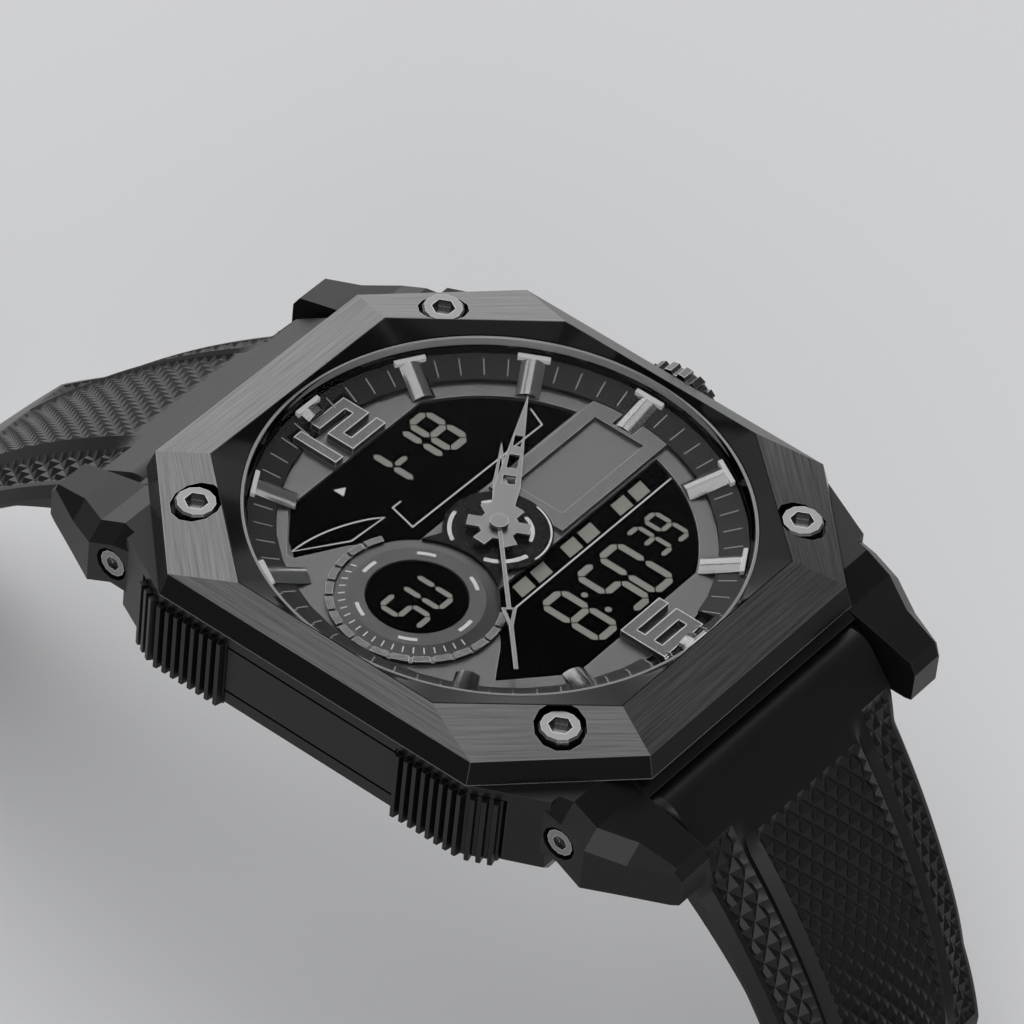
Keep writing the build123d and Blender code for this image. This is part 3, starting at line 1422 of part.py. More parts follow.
# Motion work: cannon pinion, minute wheel and hour wheel
with BuildPart() as cannon_pinion:
    with BuildSketch(Plane.XY.offset(cannon_low_z)):
        RegularPolygon(cannon_r, shank_sides)
    extrude(amount=minute_hand_z - cannon_low_z)
    with BuildSketch(Plane.XY.offset(cannon_low_z)):
        with BuildLine():
            Polyline(*gear_points(cannon_teeth, cannon_module, 0), close=True)
        make_face()
    extrude(amount=pinion_t)
    with BuildSketch(Plane.XY.offset(cannon_low_z)):
        RegularPolygon(cannon_in_r, shank_sides, major_radius=False)
    extrude(amount=minute_hand_z - cannon_low_z, mode=Mode.SUBTRACT)
cannon_pinion.part.label = "cannon_pinion"
export_step(cannon_pinion.part, "parts/cannon_pinion.step")

with BuildPart() as minute_wheel:
    with BuildSketch(Plane.XY.offset(bridge_top_z - bearing_depth + bearing_end_gap)):
        with Locations((motion_reach, 0)):
            RegularPolygon(arbor_r, shank_sides)
    extrude(amount=dial_low_z - bridge_top_z + bearing_depth - 2 * bearing_end_gap)
    with BuildSketch(Plane.XY.offset(minute_wheel_z)):
        with BuildLine():
            gap_phase = 180 + 180 / minute_wheel_teeth
            Polyline(
                *gear_points(minute_wheel_teeth, cannon_module, gap_phase, (motion_reach, 0)),
                close=True,
            )
        make_face()
    extrude(amount=wheel_t)
    with BuildSketch(Plane.XY.offset(minute_wheel_z + wheel_t)):
        with BuildLine():
            Polyline(*gear_points(minute_pinion_teeth, hour_module, 180, (motion_reach, 0)), close=True)
        make_face()
    extrude(amount=pinion_t)
minute_wheel.part.label = "minute_wheel"
export_step(minute_wheel.part, "parts/minute_wheel.step")

with BuildPart() as hour_wheel:
    with BuildSketch(Plane.XY.offset(hour_wheel_z)):
        RegularPolygon(hour_tube_r, shank_sides)
    extrude(amount=hour_hand_z - hour_wheel_z)
    with BuildSketch(Plane.XY.offset(hour_wheel_z)):
        with BuildLine():
            Polyline(*gear_points(hour_wheel_teeth, hour_module, 180 / hour_wheel_teeth), close=True)
        make_face()
    extrude(amount=wheel_t)
    with BuildSketch(Plane.XY.offset(hour_wheel_z)):
        RegularPolygon(hour_tube_in_r, shank_sides, major_radius=False)
    extrude(amount=hour_hand_z - hour_wheel_z, mode=Mode.SUBTRACT)
hour_wheel.part.label = "hour_wheel"
export_step(hour_wheel.part, "parts/hour_wheel.step")

# Hour hand: a bar with an open point
slot_near, slot_far = hour_hand_slot_shares
with BuildPart() as hour_hand:
    with BuildSketch(clock_plane(hour_hand_angle, hour_hand_z)):
        Circle(hour_hand_hub_r)
        with BuildLine():
            Polyline(
                (-hour_hand_half_w, 0),
                (-hour_hand_half_w, hour_hand_bar_l),
                (0, hour_hand_l),
                (hour_hand_half_w, hour_hand_bar_l),
                (hour_hand_half_w, 0),
                close=True,
            )
        make_face()
        with BuildLine():
            Polyline(
                (-hour_hand_half_w * slot_near[1], hour_hand_l * slot_near[0]),
                (0, hour_hand_l * slot_far[0]),
                (hour_hand_half_w * slot_near[1], hour_hand_l * slot_near[0]),
                close=True,
            )
        make_face(mode=Mode.SUBTRACT)
        RegularPolygon(hour_tube_in_r, shank_sides, major_radius=False, mode=Mode.SUBTRACT)
    extrude(amount=hand_t)
hour_hand.part.label = "hour_hand"
export_step(hour_hand.part, "parts/hour_hand.step")

# Minute hand: a cog-shaped hub and a tapered blade with three windows
with BuildPart() as minute_hand:
    with BuildSketch(clock_plane(minute_hand_angle, minute_hand_z)):
        Circle(minute_hub_r)
        with PolarLocations(minute_lobe_r / 2, minute_lobes):
            Rectangle(minute_lobe_r, 2 * minute_lobe_half_w)
        with BuildLine():
            Polyline(
                (-minute_hand_root_half_w, 0),
                (-minute_hand_half_w, minute_hand_wide_l),
                (0, minute_hand_l),
                (minute_hand_half_w, minute_hand_wide_l),
                (minute_hand_root_half_w, 0),
                close=True,
            )
        make_face()
        for near, far, width in minute_window_shares:
            with BuildLine():
                Polyline(
                    (-minute_hand_half_w * width, minute_hand_l * near),
                    (-minute_hand_half_w * width, minute_hand_l * far),
                    (minute_hand_half_w * width, minute_hand_l * far),
                    (minute_hand_half_w * width, minute_hand_l * near),
                    close=True,
                )
            make_face(mode=Mode.SUBTRACT)
        RegularPolygon(cannon_in_r, shank_sides, major_radius=False, mode=Mode.SUBTRACT)
    extrude(amount=hand_t)
minute_hand.part.label = "minute_hand"
export_step(minute_hand.part, "parts/minute_hand.step")

# Second hand: a needle with an open arrow head and a round cap
arrow_mid_r = (second_arrow_in_r + second_arrow_out_r) / 2
with BuildPart() as second_hand:
    with BuildSketch(clock_plane(second_hand_angle, second_hand_z)):
        with Locations((0, second_hand_l / 2)):
            Rectangle(2 * second_hand_half_w, second_hand_l)
        with BuildLine():
            Polyline(
                (-second_arrow_half_w, second_arrow_in_r),
                (0, second_arrow_out_r),
                (second_arrow_half_w, second_arrow_in_r),
                close=True,
            )
        make_face()
        with BuildLine():
            Polyline(
                (-second_arrow_half_w * second_arrow_slot_share, second_arrow_in_r + second_hand_half_w),
                (0, arrow_mid_r + second_hand_half_w),
                (second_arrow_half_w * second_arrow_slot_share, second_arrow_in_r + second_hand_half_w),
                close=True,
            )
        make_face(mode=Mode.SUBTRACT)
    extrude(amount=second_hand_t)
    with BuildSketch(Plane.XY.offset(second_hand_z)):
        Circle(second_cap_r)
    extrude(amount=second_cap_h)
second_hand.part.label = "second_hand"
export_step(second_hand.part, "parts/second_hand.step")

# Crown with broad flutes, on its stem
crown_spots = []
for flute in range(crown_flutes):
    for share, r in crown_flute_shares:
        turn = 2 * pi * (flute + share) / crown_flutes
        crown_spots.append((crown_rib_r * r * cos(turn), crown_z + crown_rib_r * r * sin(turn)))
with BuildPart() as crown:
    with BuildSketch(Plane.YZ.offset(crown_in_x)):
        with BuildLine():
            Polyline(*crown_spots, close=True)
        make_face()
    extrude(amount=crown_l - crown_end_l)
    for x, r in ((crown_in_x + crown_l - crown_end_l, crown_root_r), (crown_in_x + crown_l, crown_end_r)):
        with BuildSketch(Plane.YZ.offset(x)):
            with Locations((0, crown_z)):
                RegularPolygon(r, 2 * crown_flutes)
    loft(ruled=True)
    with BuildSketch(Plane.YZ.offset(crown_stem_in_x)):
        with Locations((0, crown_z)):
            Circle(crown_stem_r)
    extrude(amount=crown_in_x - crown_stem_in_x)
crown.part.label = "crown"
export_step(crown.part, "parts/crown.step")

with BuildPart() as crown_tube:
    with BuildSketch(Plane.YZ.offset(crown_tube_in_x)):
        with Locations((0, crown_z)):
            RegularPolygon(crown_tube_r, head_sides)
            RegularPolygon(
                crown_stem_r + crown_stem_gap,
                shank_sides,
                major_radius=False,
                mode=Mode.SUBTRACT,
            )
    extrude(amount=crown_tube_out_x - crown_tube_in_x)
    with BuildSketch(Plane.YZ.offset(crown_seal_x)):
        with Locations((0, crown_z)):
            RegularPolygon(crown_seal_r + seal_gap, shank_sides)
    extrude(amount=seal_groove_l, mode=Mode.SUBTRACT)
crown_tube.part.label = "crown_tube"
export_step(crown_tube.part, "parts/crown_tube.step")

with BuildPart() as crown_gasket:
    with BuildSketch(Plane.YZ.offset(crown_seal_x + seal_gap)):
        with Locations((0, crown_z)):
            RegularPolygon(crown_seal_r, shank_sides)
            RegularPolygon(crown_stem_r + seal_gap, shank_sides, major_radius=False, mode=Mode.SUBTRACT)
    extrude(amount=seal_groove_l - 2 * seal_gap)
crown_gasket.part.label = "crown_gasket"
export_step(crown_gasket.part, "parts/crown_gasket.step")

with BuildPart() as stem_clip:
    with BuildSketch(Plane.YZ.offset(stem_clip_x)):
        with Locations((0, crown_z)):
            RegularPolygon(stem_clip_r, shank_sides)
            RegularPolygon(crown_stem_r + seal_gap, shank_sides, major_radius=False, mode=Mode.SUBTRACT)
    extrude(amount=stem_clip_t)
stem_clip.part.label = "stem_clip"
export_step(stem_clip.part, "parts/stem_clip.step")

# Pushers: a ribbed cap whose outer end is bevelled, on a stem with a collar
cap_near_y = pocket_near_y + pusher_gap
cap_far_y = pocket_far_y - 2 * pusher_gap
cap_low_z = pocket_low_z + pusher_gap
cap_high_z = pocket_high_z - pusher_gap
cap_corner = (pusher_face_x - (cap_far_y - case_flat_y) * pusher_bevel_share, cap_far_y)
rib_runs = (
    ((pusher_face_x, cap_near_y), (pusher_face_x, case_flat_y), pusher_flat_ribs),
    ((pusher_face_x, case_flat_y), cap_corner, pusher_corner_ribs),
)
rib_points = []
for (x0, y0), (x1, y1), count in rib_runs:
    run = hypot(x1 - x0, y1 - y0)
    out = ((y1 - y0) / run, -(x1 - x0) / run)
    for rib in range(count):
        for share, height in pusher_rib_shares:
            at = (rib + share) / count
            rib_points.append(
                (
                    x0 + (x1 - x0) * at + out[0] * pusher_rib_h * height,
                    y0 + (y1 - y0) * at + out[1] * pusher_rib_h * height,
                )
            )
cap_points = [(pusher_back_x, cap_near_y), (pusher_face_x, cap_near_y), *rib_points, cap_corner]
cap_points += [(pusher_back_x, cap_far_y)]
stem_in_x = pusher_relief_x - pusher_collar_gap - pusher_collar_l
for hour, sx, sy in pusher_places:
    with BuildPart() as pusher:
        with BuildSketch(Plane.XY.offset(cap_low_z)):
            with BuildLine():
                Polyline(*[(sx * x, sy * y) for x, y in cap_points], close=True)
            make_face()
        extrude(amount=cap_high_z - cap_low_z)
        with BuildSketch(Plane.YZ.offset(sx * stem_in_x)):
            with Locations((sy * pusher_stem_y, pusher_stem_z)):
                RegularPolygon(pusher_stem_r, shank_sides)
        extrude(amount=sx * (pusher_back_x - stem_in_x))
        with BuildSketch(Plane.YZ.offset(sx * stem_in_x)):
            with Locations((sy * pusher_stem_y, pusher_stem_z)):
                RegularPolygon(pusher_collar_r, shank_sides)
        extrude(amount=sx * pusher_collar_l)
    pusher.part.label = f"pusher_{hour}"
    export_step(pusher.part, f"parts/pusher_{hour}.step")
    with BuildPart() as pusher_spring:
        with BuildSketch(Plane.YZ.offset(sx * (pocket_floor_x - spring_well_l))):
            with Locations((sy * pusher_stem_y, pusher_stem_z)):
                RegularPolygon(spring_r + spring_wire / 2, shank_sides)
                RegularPolygon(spring_r - spring_wire / 2, shank_sides, mode=Mode.SUBTRACT)
        extrude(amount=sx * (pusher_back_x - pocket_floor_x + spring_well_l))
    pusher_spring.part.label = f"pusher_spring_{hour}"
    export_step(pusher_spring.part, f"parts/pusher_spring_{hour}.step")

with BuildPart() as pusher_gaskets:
    for sx in (-1, 1):
        for sy in (-1, 1):
            with BuildSketch(Plane.YZ.offset(sx * (seal_x + seal_gap))):
                with Locations((sy * pusher_stem_y, pusher_stem_z)):
                    RegularPolygon(seal_groove_r - seal_gap, shank_sides)
                    RegularPolygon(
                        pusher_stem_r + seal_gap,
                        shank_sides,
                        major_radius=False,
                        mode=Mode.SUBTRACT,
                    )
            extrude(amount=sx * (seal_groove_l - 2 * seal_gap))
pusher_gaskets.part.label = "pusher_gaskets"
export_step(pusher_gaskets.part, "parts/pusher_gaskets.step")

# Strap pins between the lugs
with BuildPart() as strap_pins:
    with BuildSketch(Plane.YZ.offset(-lug_in_x - strap_pin_sink)):
        with Locations((strap_pin_y, strap_pin_z), (-strap_pin_y, strap_pin_z)):
            Circle(strap_pin_r)
    extrude(amount=2 * (lug_in_x + strap_pin_sink))
strap_pins.part.label = "strap_pins"
export_step(strap_pins.part, "parts/strap_pins.step")


def strap_start(heading):
    """Point of the outer face over the strap pin, and the heading in radians."""
    turn = radians(heading)
    y = strap_pin_y + strap_knuckle_r * sin(turn)
    z = strap_pin_z + strap_knuckle_r * cos(turn)
    return y, z, turn


# Strap half at 12 o'clock, with the fixed keeper and a slotted end for the buckle pin
start12 = strap_start(strap12_start)
knee12 = path_point(start12, strap12_runs, sum(length for length, bend_r in strap12_runs))
runs12 = (*strap12_runs, (strap12_foot_r * knee12[2], -strap12_foot_r), (strap12_foot_l, 0))
length12 = sum(length for length, bend_r in runs12)
end12_y, face12_z, end12_heading = path_point(start12, runs12, length12)
buckle_z = face12_z - strap_tail_t / 2
floor_z = face12_z - strap_tail_t - keeper_back_gap - keeper_wall
keeper_half_w = strap_tail_half_w + keeper_side_room
fixed_keeper_y = end12_y - buckle_back_l - keeper_fixed_near_l
fixed_low_z = face12_z - strap_tail_t - keeper_wall
fixed_high_z = face12_z + keeper_room + keeper_wall
with BuildPart() as strap_12:
    for s in strap_stations(runs12):
        with BuildSketch(strap_section_plane(start12, runs12, s)):
            with BuildLine():
                Polyline(*strap_section(s), close=True)
            make_face()
    loft(ruled=True)
    with BuildSketch(Plane.YZ.offset(-strap_half_w)):
        with Locations((strap_pin_y, strap_pin_z)):
            RegularPolygon(strap_knuckle_r, head_sides)
    extrude(amount=2 * strap_half_w)
    with BuildSketch(Plane.YZ.offset(-strap_half_w)):
        with Locations((strap_pin_y, strap_pin_z)):
            RegularPolygon(strap_pin_r + strap_pin_gap, shank_sides, major_radius=False)
    extrude(amount=2 * strap_half_w, mode=Mode.SUBTRACT)
    with BuildSketch(Plane.YZ.offset(-strap_tail_half_w)):
        with Locations((end12_y, buckle_z)):
            RegularPolygon(buckle_knuckle_r, head_sides)
    extrude(amount=2 * strap_tail_half_w)
    with BuildSketch(Plane.XZ.offset(-fixed_keeper_y)):
        with Locations((0, (fixed_low_z + fixed_high_z) / 2)):
            Rectangle(2 * (keeper_half_w + keeper_wall), fixed_high_z - fixed_low_z)
        with Locations((0, face12_z + keeper_room / 2)):
            Rectangle(2 * keeper_half_w, keeper_room, mode=Mode.SUBTRACT)
    extrude(amount=keeper_fixed_l)
    with BuildSketch(Plane.YZ.offset(-strap_tail_half_w)):
        with Locations((end12_y, buckle_z)):
            RegularPolygon(buckle_pin_r + buckle_pin_gap, shank_sides, major_radius=False)
    extrude(amount=2 * strap_tail_half_w, mode=Mode.SUBTRACT)
    with BuildSketch(Plane.XY.offset(buckle_z - buckle_knuckle_r)):
        with Locations((0, end12_y)):
            Rectangle(2 * buckle_slot_half_w, 2 * buckle_slot_l)
    extrude(amount=2 * buckle_knuckle_r, mode=Mode.SUBTRACT)
strap_12.part.label = "strap_12"
export_step(strap_12.part, "parts/strap_12.step")

# Strap half at 6 o'clock: drawn at 12 o'clock and mirrored, with adjusting holes
start6 = strap_start(strap6_start)
knee6 = path_point(start6, strap6_runs, sum(length for length, bend_r in strap6_runs))
foot6_r = (knee6[1] - floor_z - strap_tail_t) / (1 - cos(knee6[2]))
runs6 = (
    *strap6_runs,
    (foot6_r * knee6[2], -foot6_r),
    (strap6_foot_l - strap_tip_l, 0),
    (strap_tip_l, 0),
)
length6 = sum(length for length, bend_r in runs6)
tip_start = length6 - strap_tip_l
tip_stations = [(tip_start + strap_tip_l * share, width) for share, width in strap_tip_shares]
with BuildPart() as strap_6_drawn:
    for s, width in [(s, 1) for s in strap_stations(runs6) if s < tip_start + overrun] + tip_stations:
        with BuildSketch(strap_section_plane(start6, runs6, s)):
            with BuildLine():
                Polyline(*[(x * width, d) for x, d in strap_section(s)], close=True)
            make_face()
    loft(ruled=True)
    with BuildSketch(Plane.YZ.offset(-strap_half_w)):
        with Locations((strap_pin_y, strap_pin_z)):
            RegularPolygon(strap_knuckle_r, head_sides)
    extrude(amount=2 * strap_half_w)
    with BuildSketch(Plane.YZ.offset(-strap_half_w)):
        with Locations((strap_pin_y, strap_pin_z)):
            RegularPolygon(strap_pin_r + strap_pin_gap, shank_sides, major_radius=False)
    extrude(amount=2 * strap_half_w, mode=Mode.SUBTRACT)
    for hole in range(strap_hole_count):
        s = length6 - strap_hole_first_l - strap_hole_pitch * hole
        with BuildSketch(strap_face_plane(start6, runs6, s).offset(overrun)):
            RegularPolygon(strap_hole_r, shank_sides)
        extrude(amount=-strap_tail_t - 2 * overrun, mode=Mode.SUBTRACT)
strap_6 = strap_6_drawn.part.mirror(Plane.XZ)
strap_6.label = "strap_6"
export_step(strap_6, "parts/strap_6.step")

# Loose keeper on the foot of the 12 o'clock half
keeper_plane = strap_section_plane(start12, runs12, length12 - keeper_end_l)
loop_out_y = -keeper_room - keeper_wall
loop_in_y = strap_tail_t + keeper_back_gap + keeper_wall
with BuildPart() as keeper_loose:
    with BuildSketch(keeper_plane):
        with Locations((0, (loop_out_y + loop_in_y) / 2)):
            Rectangle(2 * (keeper_half_w + keeper_wall), loop_in_y - loop_out_y)
            Rectangle(2 * keeper_half_w, loop_in_y - loop_out_y - 2 * keeper_wall, mode=Mode.SUBTRACT)
    extrude(amount=keeper_l / 2, both=True)
keeper_loose.part.label = "keeper_loose"
export_step(keeper_loose.part, "parts/keeper_loose.step")

# Buckle: a frame open at the strap, its pin and the tongue
buckle_out_half_w = buckle_in_half_w + buckle_bar_w
buckle_front_y = end12_y + buckle_front_l
buckle_back_y = end12_y - buckle_back_l
with BuildPart() as buckle_frame:
    with BuildSketch(Plane.XY.offset(buckle_z - buckle_half_t)):
        with Locations((0, (buckle_front_y + buckle_back_y) / 2)):
            Rectangle(2 * buckle_out_half_w, buckle_front_y - buckle_back_y)
        window_l = buckle_front_y - buckle_bar_w - buckle_back_y + overrun
        with Locations((0, buckle_front_y - buckle_bar_w - window_l / 2)):
            Rectangle(2 * buckle_in_half_w, window_l, mode=Mode.SUBTRACT)
    extrude(amount=2 * buckle_half_t)
    front_corners = [
        edge
        for edge in buckle_frame.edges().filter_by(Axis.Z)
        if edge.center().Y > buckle_front_y - overrun
    ]
    fillet(front_corners, buckle_corner_r)
    with BuildSketch(Plane.YZ.offset(-buckle_out_half_w)):
        with Locations((end12_y, buckle_z)):
            RegularPolygon(buckle_pin_r + buckle_pin_gap, shank_sides, major_radius=False)
    extrude(amount=2 * buckle_out_half_w, mode=Mode.SUBTRACT)
buckle_frame.part.label = "buckle_frame"
export_step(buckle_frame.part, "parts/buckle_frame.step")

with BuildPart() as buckle_pin:
    with BuildSketch(Plane.YZ.offset(screw_gap - buckle_out_half_w)):
        with Locations((end12_y, buckle_z)):
            Circle(buckle_pin_r)
    extrude(amount=2 * (buckle_out_half_w - screw_gap))
buckle_pin.part.label = "buckle_pin"
export_step(buckle_pin.part, "parts/buckle_pin.step")

tongue_high = buckle_half_t + tongue_t
with BuildPart() as buckle_tongue:
    with BuildSketch(Plane.YZ.offset(-tongue_half_w)):
        with BuildLine():
            Polyline(
                (end12_y, buckle_z + buckle_pin_r),
                (end12_y + 2 * tongue_ring_r, buckle_z + buckle_half_t),
                (end12_y + tongue_tip_l, buckle_z + buckle_half_t),
                (end12_y + tongue_tip_l + tongue_t / 2, buckle_z + buckle_half_t + tongue_t / 2),
                (end12_y + tongue_tip_l, buckle_z + tongue_high),
                (end12_y + 2 * tongue_ring_r, buckle_z + tongue_high),
                (end12_y, buckle_z + tongue_ring_r),
                close=True,
            )
        make_face()
        with Locations((end12_y, buckle_z)):
            RegularPolygon(tongue_ring_r, head_sides)
            RegularPolygon(
                buckle_pin_r + buckle_pin_gap,
                shank_sides,
                major_radius=False,
                mode=Mode.SUBTRACT,
            )
    extrude(amount=2 * tongue_half_w)
buckle_tongue.part.label = "buckle_tongue"
export_step(buckle_tongue.part, "parts/buckle_tongue.step")
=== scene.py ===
# %% [markdown]
# # A wristwatch with hands and liquid crystal windows
#
# The watch comes from a CAD model, one mesh for every piece, already in its place. This lesson gives each mesh a
# finish and adds what is too fine for CAD: the strap's relief, the printed marks and the figures of the windows.
# Lengths are in millimetres, and multiplied by MM where Blender wants metres.

import bmesh
import bpy
import numpy as np
from mathutils import Matrix, Vector


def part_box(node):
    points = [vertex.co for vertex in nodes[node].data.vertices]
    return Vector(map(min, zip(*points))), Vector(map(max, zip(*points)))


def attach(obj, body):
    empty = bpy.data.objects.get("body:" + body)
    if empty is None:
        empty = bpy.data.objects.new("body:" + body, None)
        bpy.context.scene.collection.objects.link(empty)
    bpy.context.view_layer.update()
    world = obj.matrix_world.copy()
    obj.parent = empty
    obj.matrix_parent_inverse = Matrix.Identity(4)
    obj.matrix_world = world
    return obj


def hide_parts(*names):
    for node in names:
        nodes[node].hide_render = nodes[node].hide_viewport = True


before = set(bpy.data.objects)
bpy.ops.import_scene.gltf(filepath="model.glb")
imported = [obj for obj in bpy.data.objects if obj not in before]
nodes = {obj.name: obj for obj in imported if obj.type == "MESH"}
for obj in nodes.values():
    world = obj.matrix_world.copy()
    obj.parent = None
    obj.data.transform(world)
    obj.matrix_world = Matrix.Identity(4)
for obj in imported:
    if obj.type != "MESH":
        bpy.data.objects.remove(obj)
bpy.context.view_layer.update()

MM = 0.001
print("pieces from CAD:", len(nodes))

# %% [markdown]
# ## The camera
#
# The photograph was taken from the lower left of the dial with a long lens, so the case shows almost no perspective.
# A camera can be placed by its direction: back is the unit vector from the watch to the camera, right and up
# complete it, and a few degrees of roll turn the last two round it.

# %% Camera from azimuth, elevation and roll
azimuth, elevation, roll = np.radians([-56.09, 43.38, 6.36])
distance, aim_right, aim_up = 586.7, 0.978, 0.704
back = np.array([np.sin(azimuth) * np.cos(elevation), -np.cos(azimuth) * np.cos(elevation), np.sin(elevation)])
level = np.array([np.cos(azimuth), np.sin(azimuth), 0.0])
upright = np.cross(back, level)
right = level * np.cos(roll) + upright * np.sin(roll)
up = upright * np.cos(roll) - level * np.sin(roll)
eye = np.array([0, 0, 12.0]) + back * distance + right * aim_right + up * aim_up

lens = bpy.data.cameras.new("product_lens")
lens.lens, lens.sensor_width, lens.sensor_fit = 269.7, 36.0, "HORIZONTAL"
lens.clip_start, lens.clip_end = 0.05, 20.0
camera = bpy.data.objects.new("product_camera", lens)
bpy.context.scene.collection.objects.link(camera)
pose = np.eye(4)
pose[:3, 0], pose[:3, 1], pose[:3, 2], pose[:3, 3] = right, up, back, eye * MM
camera.matrix_world = Matrix(pose.tolist())
bpy.context.scene.camera = camera
print("camera at", np.round(eye, 1), "mm")

# %% [markdown]
# ## Points, faces and pieces
#
# Every new piece is a surface or a set of flat plates, worked out as whole numpy arrays and handed to Blender at
# once. A loop over vertices would be slow and hard to read.

# %% A mesh that rides a body
def make_piece(name, points, faces, finish, body, slot, sharp=30.0):
    """Mesh of points in mm and faces as index lists. Edges sharper than the angle stay crisp, the rest is smooth.
    Blender turns the faces of the closed shell outwards, so a formula may run round it either way."""
    mesh = bpy.data.meshes.new(name)
    mesh.from_pydata((np.asarray(points) * MM).tolist(), [], [list(map(int, f)) for f in faces])
    mesh.validate()
    shell = bmesh.new()
    shell.from_mesh(mesh)
    bmesh.ops.recalc_face_normals(shell, faces=shell.faces)
    shell.to_mesh(mesh)
    shell.free()
    mesh.shade_smooth()
    mesh.set_sharp_from_angle(angle=np.radians(sharp))
    mesh.materials.append(finish)
    piece = bpy.data.objects.new(name, mesh)
    bpy.context.scene.collection.objects.link(piece)
    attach(piece, body)
    print(name, len(mesh.vertices), "points", len(mesh.polygons), "faces")
    return piece


# %% [markdown]
# A curved surface is a grid; joining its last line to its first makes a tube or a ring. Printed marks are flat
# plates, and thin lines are strips of them. They could be painted, but a plate has a crisp edge at any distance.

# %% Grids, plates and strips
def grid_faces(rows, columns, wrap_rows, wrap_columns):
    """Quads between neighbouring rows and columns; a wrapped direction joins its last line to its first."""
    i = np.arange(rows if wrap_rows else rows - 1)[:, None]
    j = np.arange(columns if wrap_columns else columns - 1)[None, :]
    i2, j2 = (i + 1) % rows, (j + 1) % columns
    quads = np.stack(np.broadcast_arrays(i * columns + j, i * columns + j2, i2 * columns + j2, i2 * columns + j), -1)
    return quads.reshape(-1, 4)


def plates(outlines, height, lifts):
    """Points and faces of closed flat plates. Each array in outlines is (plates, corners, 2), anticlockwise.
    height is a function of x and y, so a plate can lie on a slope; the lifts of its two faces are added to it."""
    points, faces, used = [], [], 0
    for shapes in outlines:
        shapes = np.asarray(shapes, float)
        count, corners = shapes.shape[:2]
        x, y = shapes[..., 0], shapes[..., 1]
        both = [np.stack([x, y, height(x, y) + lift], -1) for lift in lifts]
        points.append(np.concatenate(both, 1).reshape(-1, 3))
        k = np.arange(corners)
        start = used + np.arange(count)[:, None] * 2 * corners
        faces += (start + k[::-1]).tolist() + (start + corners + k).tolist()
        walls = np.stack([k, (k + 1) % corners, (k + 1) % corners + corners, k + corners], -1)
        faces += (start[:, :, None] + walls[None]).reshape(-1, 4).tolist()
        used += count * 2 * corners
    return np.concatenate(points), faces


def unit(turn):
    """Unit vectors at angles in radians, anticlockwise from 3 o'clock."""
    return np.stack([np.cos(turn), np.sin(turn)], -1)


def lathe(profile, steps, centre=(0.0, 0.0), closed=True):
    """Surface of turning a profile of radius r and height h round a centre: x = r cos a, y = r sin a, z = h.
    A closed profile joins its last point to its first; an open one leaves its two end circles for flat caps."""
    r, h = np.asarray(profile, float).T
    turn = np.arange(steps) * 2 * np.pi / steps
    level = r[:, None] * unit(turn)[:, None] + centre
    points = np.concatenate([level, np.broadcast_to(h[:, None], level[..., :1].shape)], -1)
    return points.reshape(-1, 3), grid_faces(steps, len(r), True, closed)


def flat(z):
    """A height that is the same everywhere."""
    return lambda x, y: np.full_like(x, z)


def stroke(points, width, closed=False):
    """Quads of an even line along points: each corner is moved out and in along the mitre of its two sides."""
    p = np.asarray(points, float)
    ahead = np.roll(p, -1, 0) - p
    if not closed:
        ahead[-1] = ahead[-2]
    ahead /= np.linalg.norm(ahead, axis=1, keepdims=True)
    behind = np.roll(ahead, 1, 0)
    if not closed:
        behind[0] = ahead[0]
    side_a = np.stack([-ahead[:, 1], ahead[:, 0]], -1)
    side_b = np.stack([-behind[:, 1], behind[:, 0]], -1)
    mitre = side_a + side_b
    mitre /= np.maximum((mitre * side_a).sum(1, keepdims=True), 0.3)
    left, other = p + mitre * width / 2, p - mitre * width / 2
    last = len(p) if closed else len(p) - 1
    a = np.arange(last)
    b = (a + 1) % len(p)
    return np.stack([other[a], other[b], left[b], left[a]], 1)


def arc(radius, start, end, steps, centre=(0.0, 0.0)):
    """Points on a circle between two angles in degrees, anticlockwise from 3 o'clock."""
    return radius * unit(np.radians(np.linspace(start, end, steps))) + centre


# %% [markdown]
# ## Effects that several finishes share
#
# Edges catch a thin line of light, brushed metal has long scratches, and rubber, plastic and satin paint have a fine
# grain. Each of these is one node group with named inputs, so that a material only chooses the values.

# %% Node helpers
def new_group(name, inputs, outputs):
    """An empty shader node group with float inputs, given as name and value, and float outputs."""
    group = bpy.data.node_groups.new(name, "ShaderNodeTree")
    for label, value in inputs:
        socket = group.interface.new_socket(name=label, in_out="INPUT", socket_type="NodeSocketFloat")
        socket.default_value = value
    for label in outputs:
        group.interface.new_socket(name=label, in_out="OUTPUT", socket_type="NodeSocketFloat")
    return group, group.nodes.new("NodeGroupInput"), group.nodes.new("NodeGroupOutput")


def feed(tree, socket, value):
    """Links a socket to a value that is itself a socket, or sets a plain number, triple or colour."""
    if isinstance(value, bpy.types.NodeSocket):
        tree.links.new(value, socket)
    elif value is not None:
        socket.default_value = value


def math(tree, operation, a, b=None, clamp=False):
    """A Math node; a and b are sockets or plain numbers."""
    node = tree.nodes.new("ShaderNodeMath")
    node.operation, node.use_clamp = operation, clamp
    feed(tree, node.inputs[0], a)
    feed(tree, node.inputs[1], b)
    return node.outputs[0]


def vector_math(tree, operation, a, b=None):
    """A Vector Math node; a and b are sockets or plain triples. A dot product comes out as a value."""
    node = tree.nodes.new("ShaderNodeVectorMath")
    node.operation = operation
    feed(tree, node.inputs[0], a)
    feed(tree, node.inputs[1], b)
    return node.outputs["Value" if operation == "DOT_PRODUCT" else "Vector"]


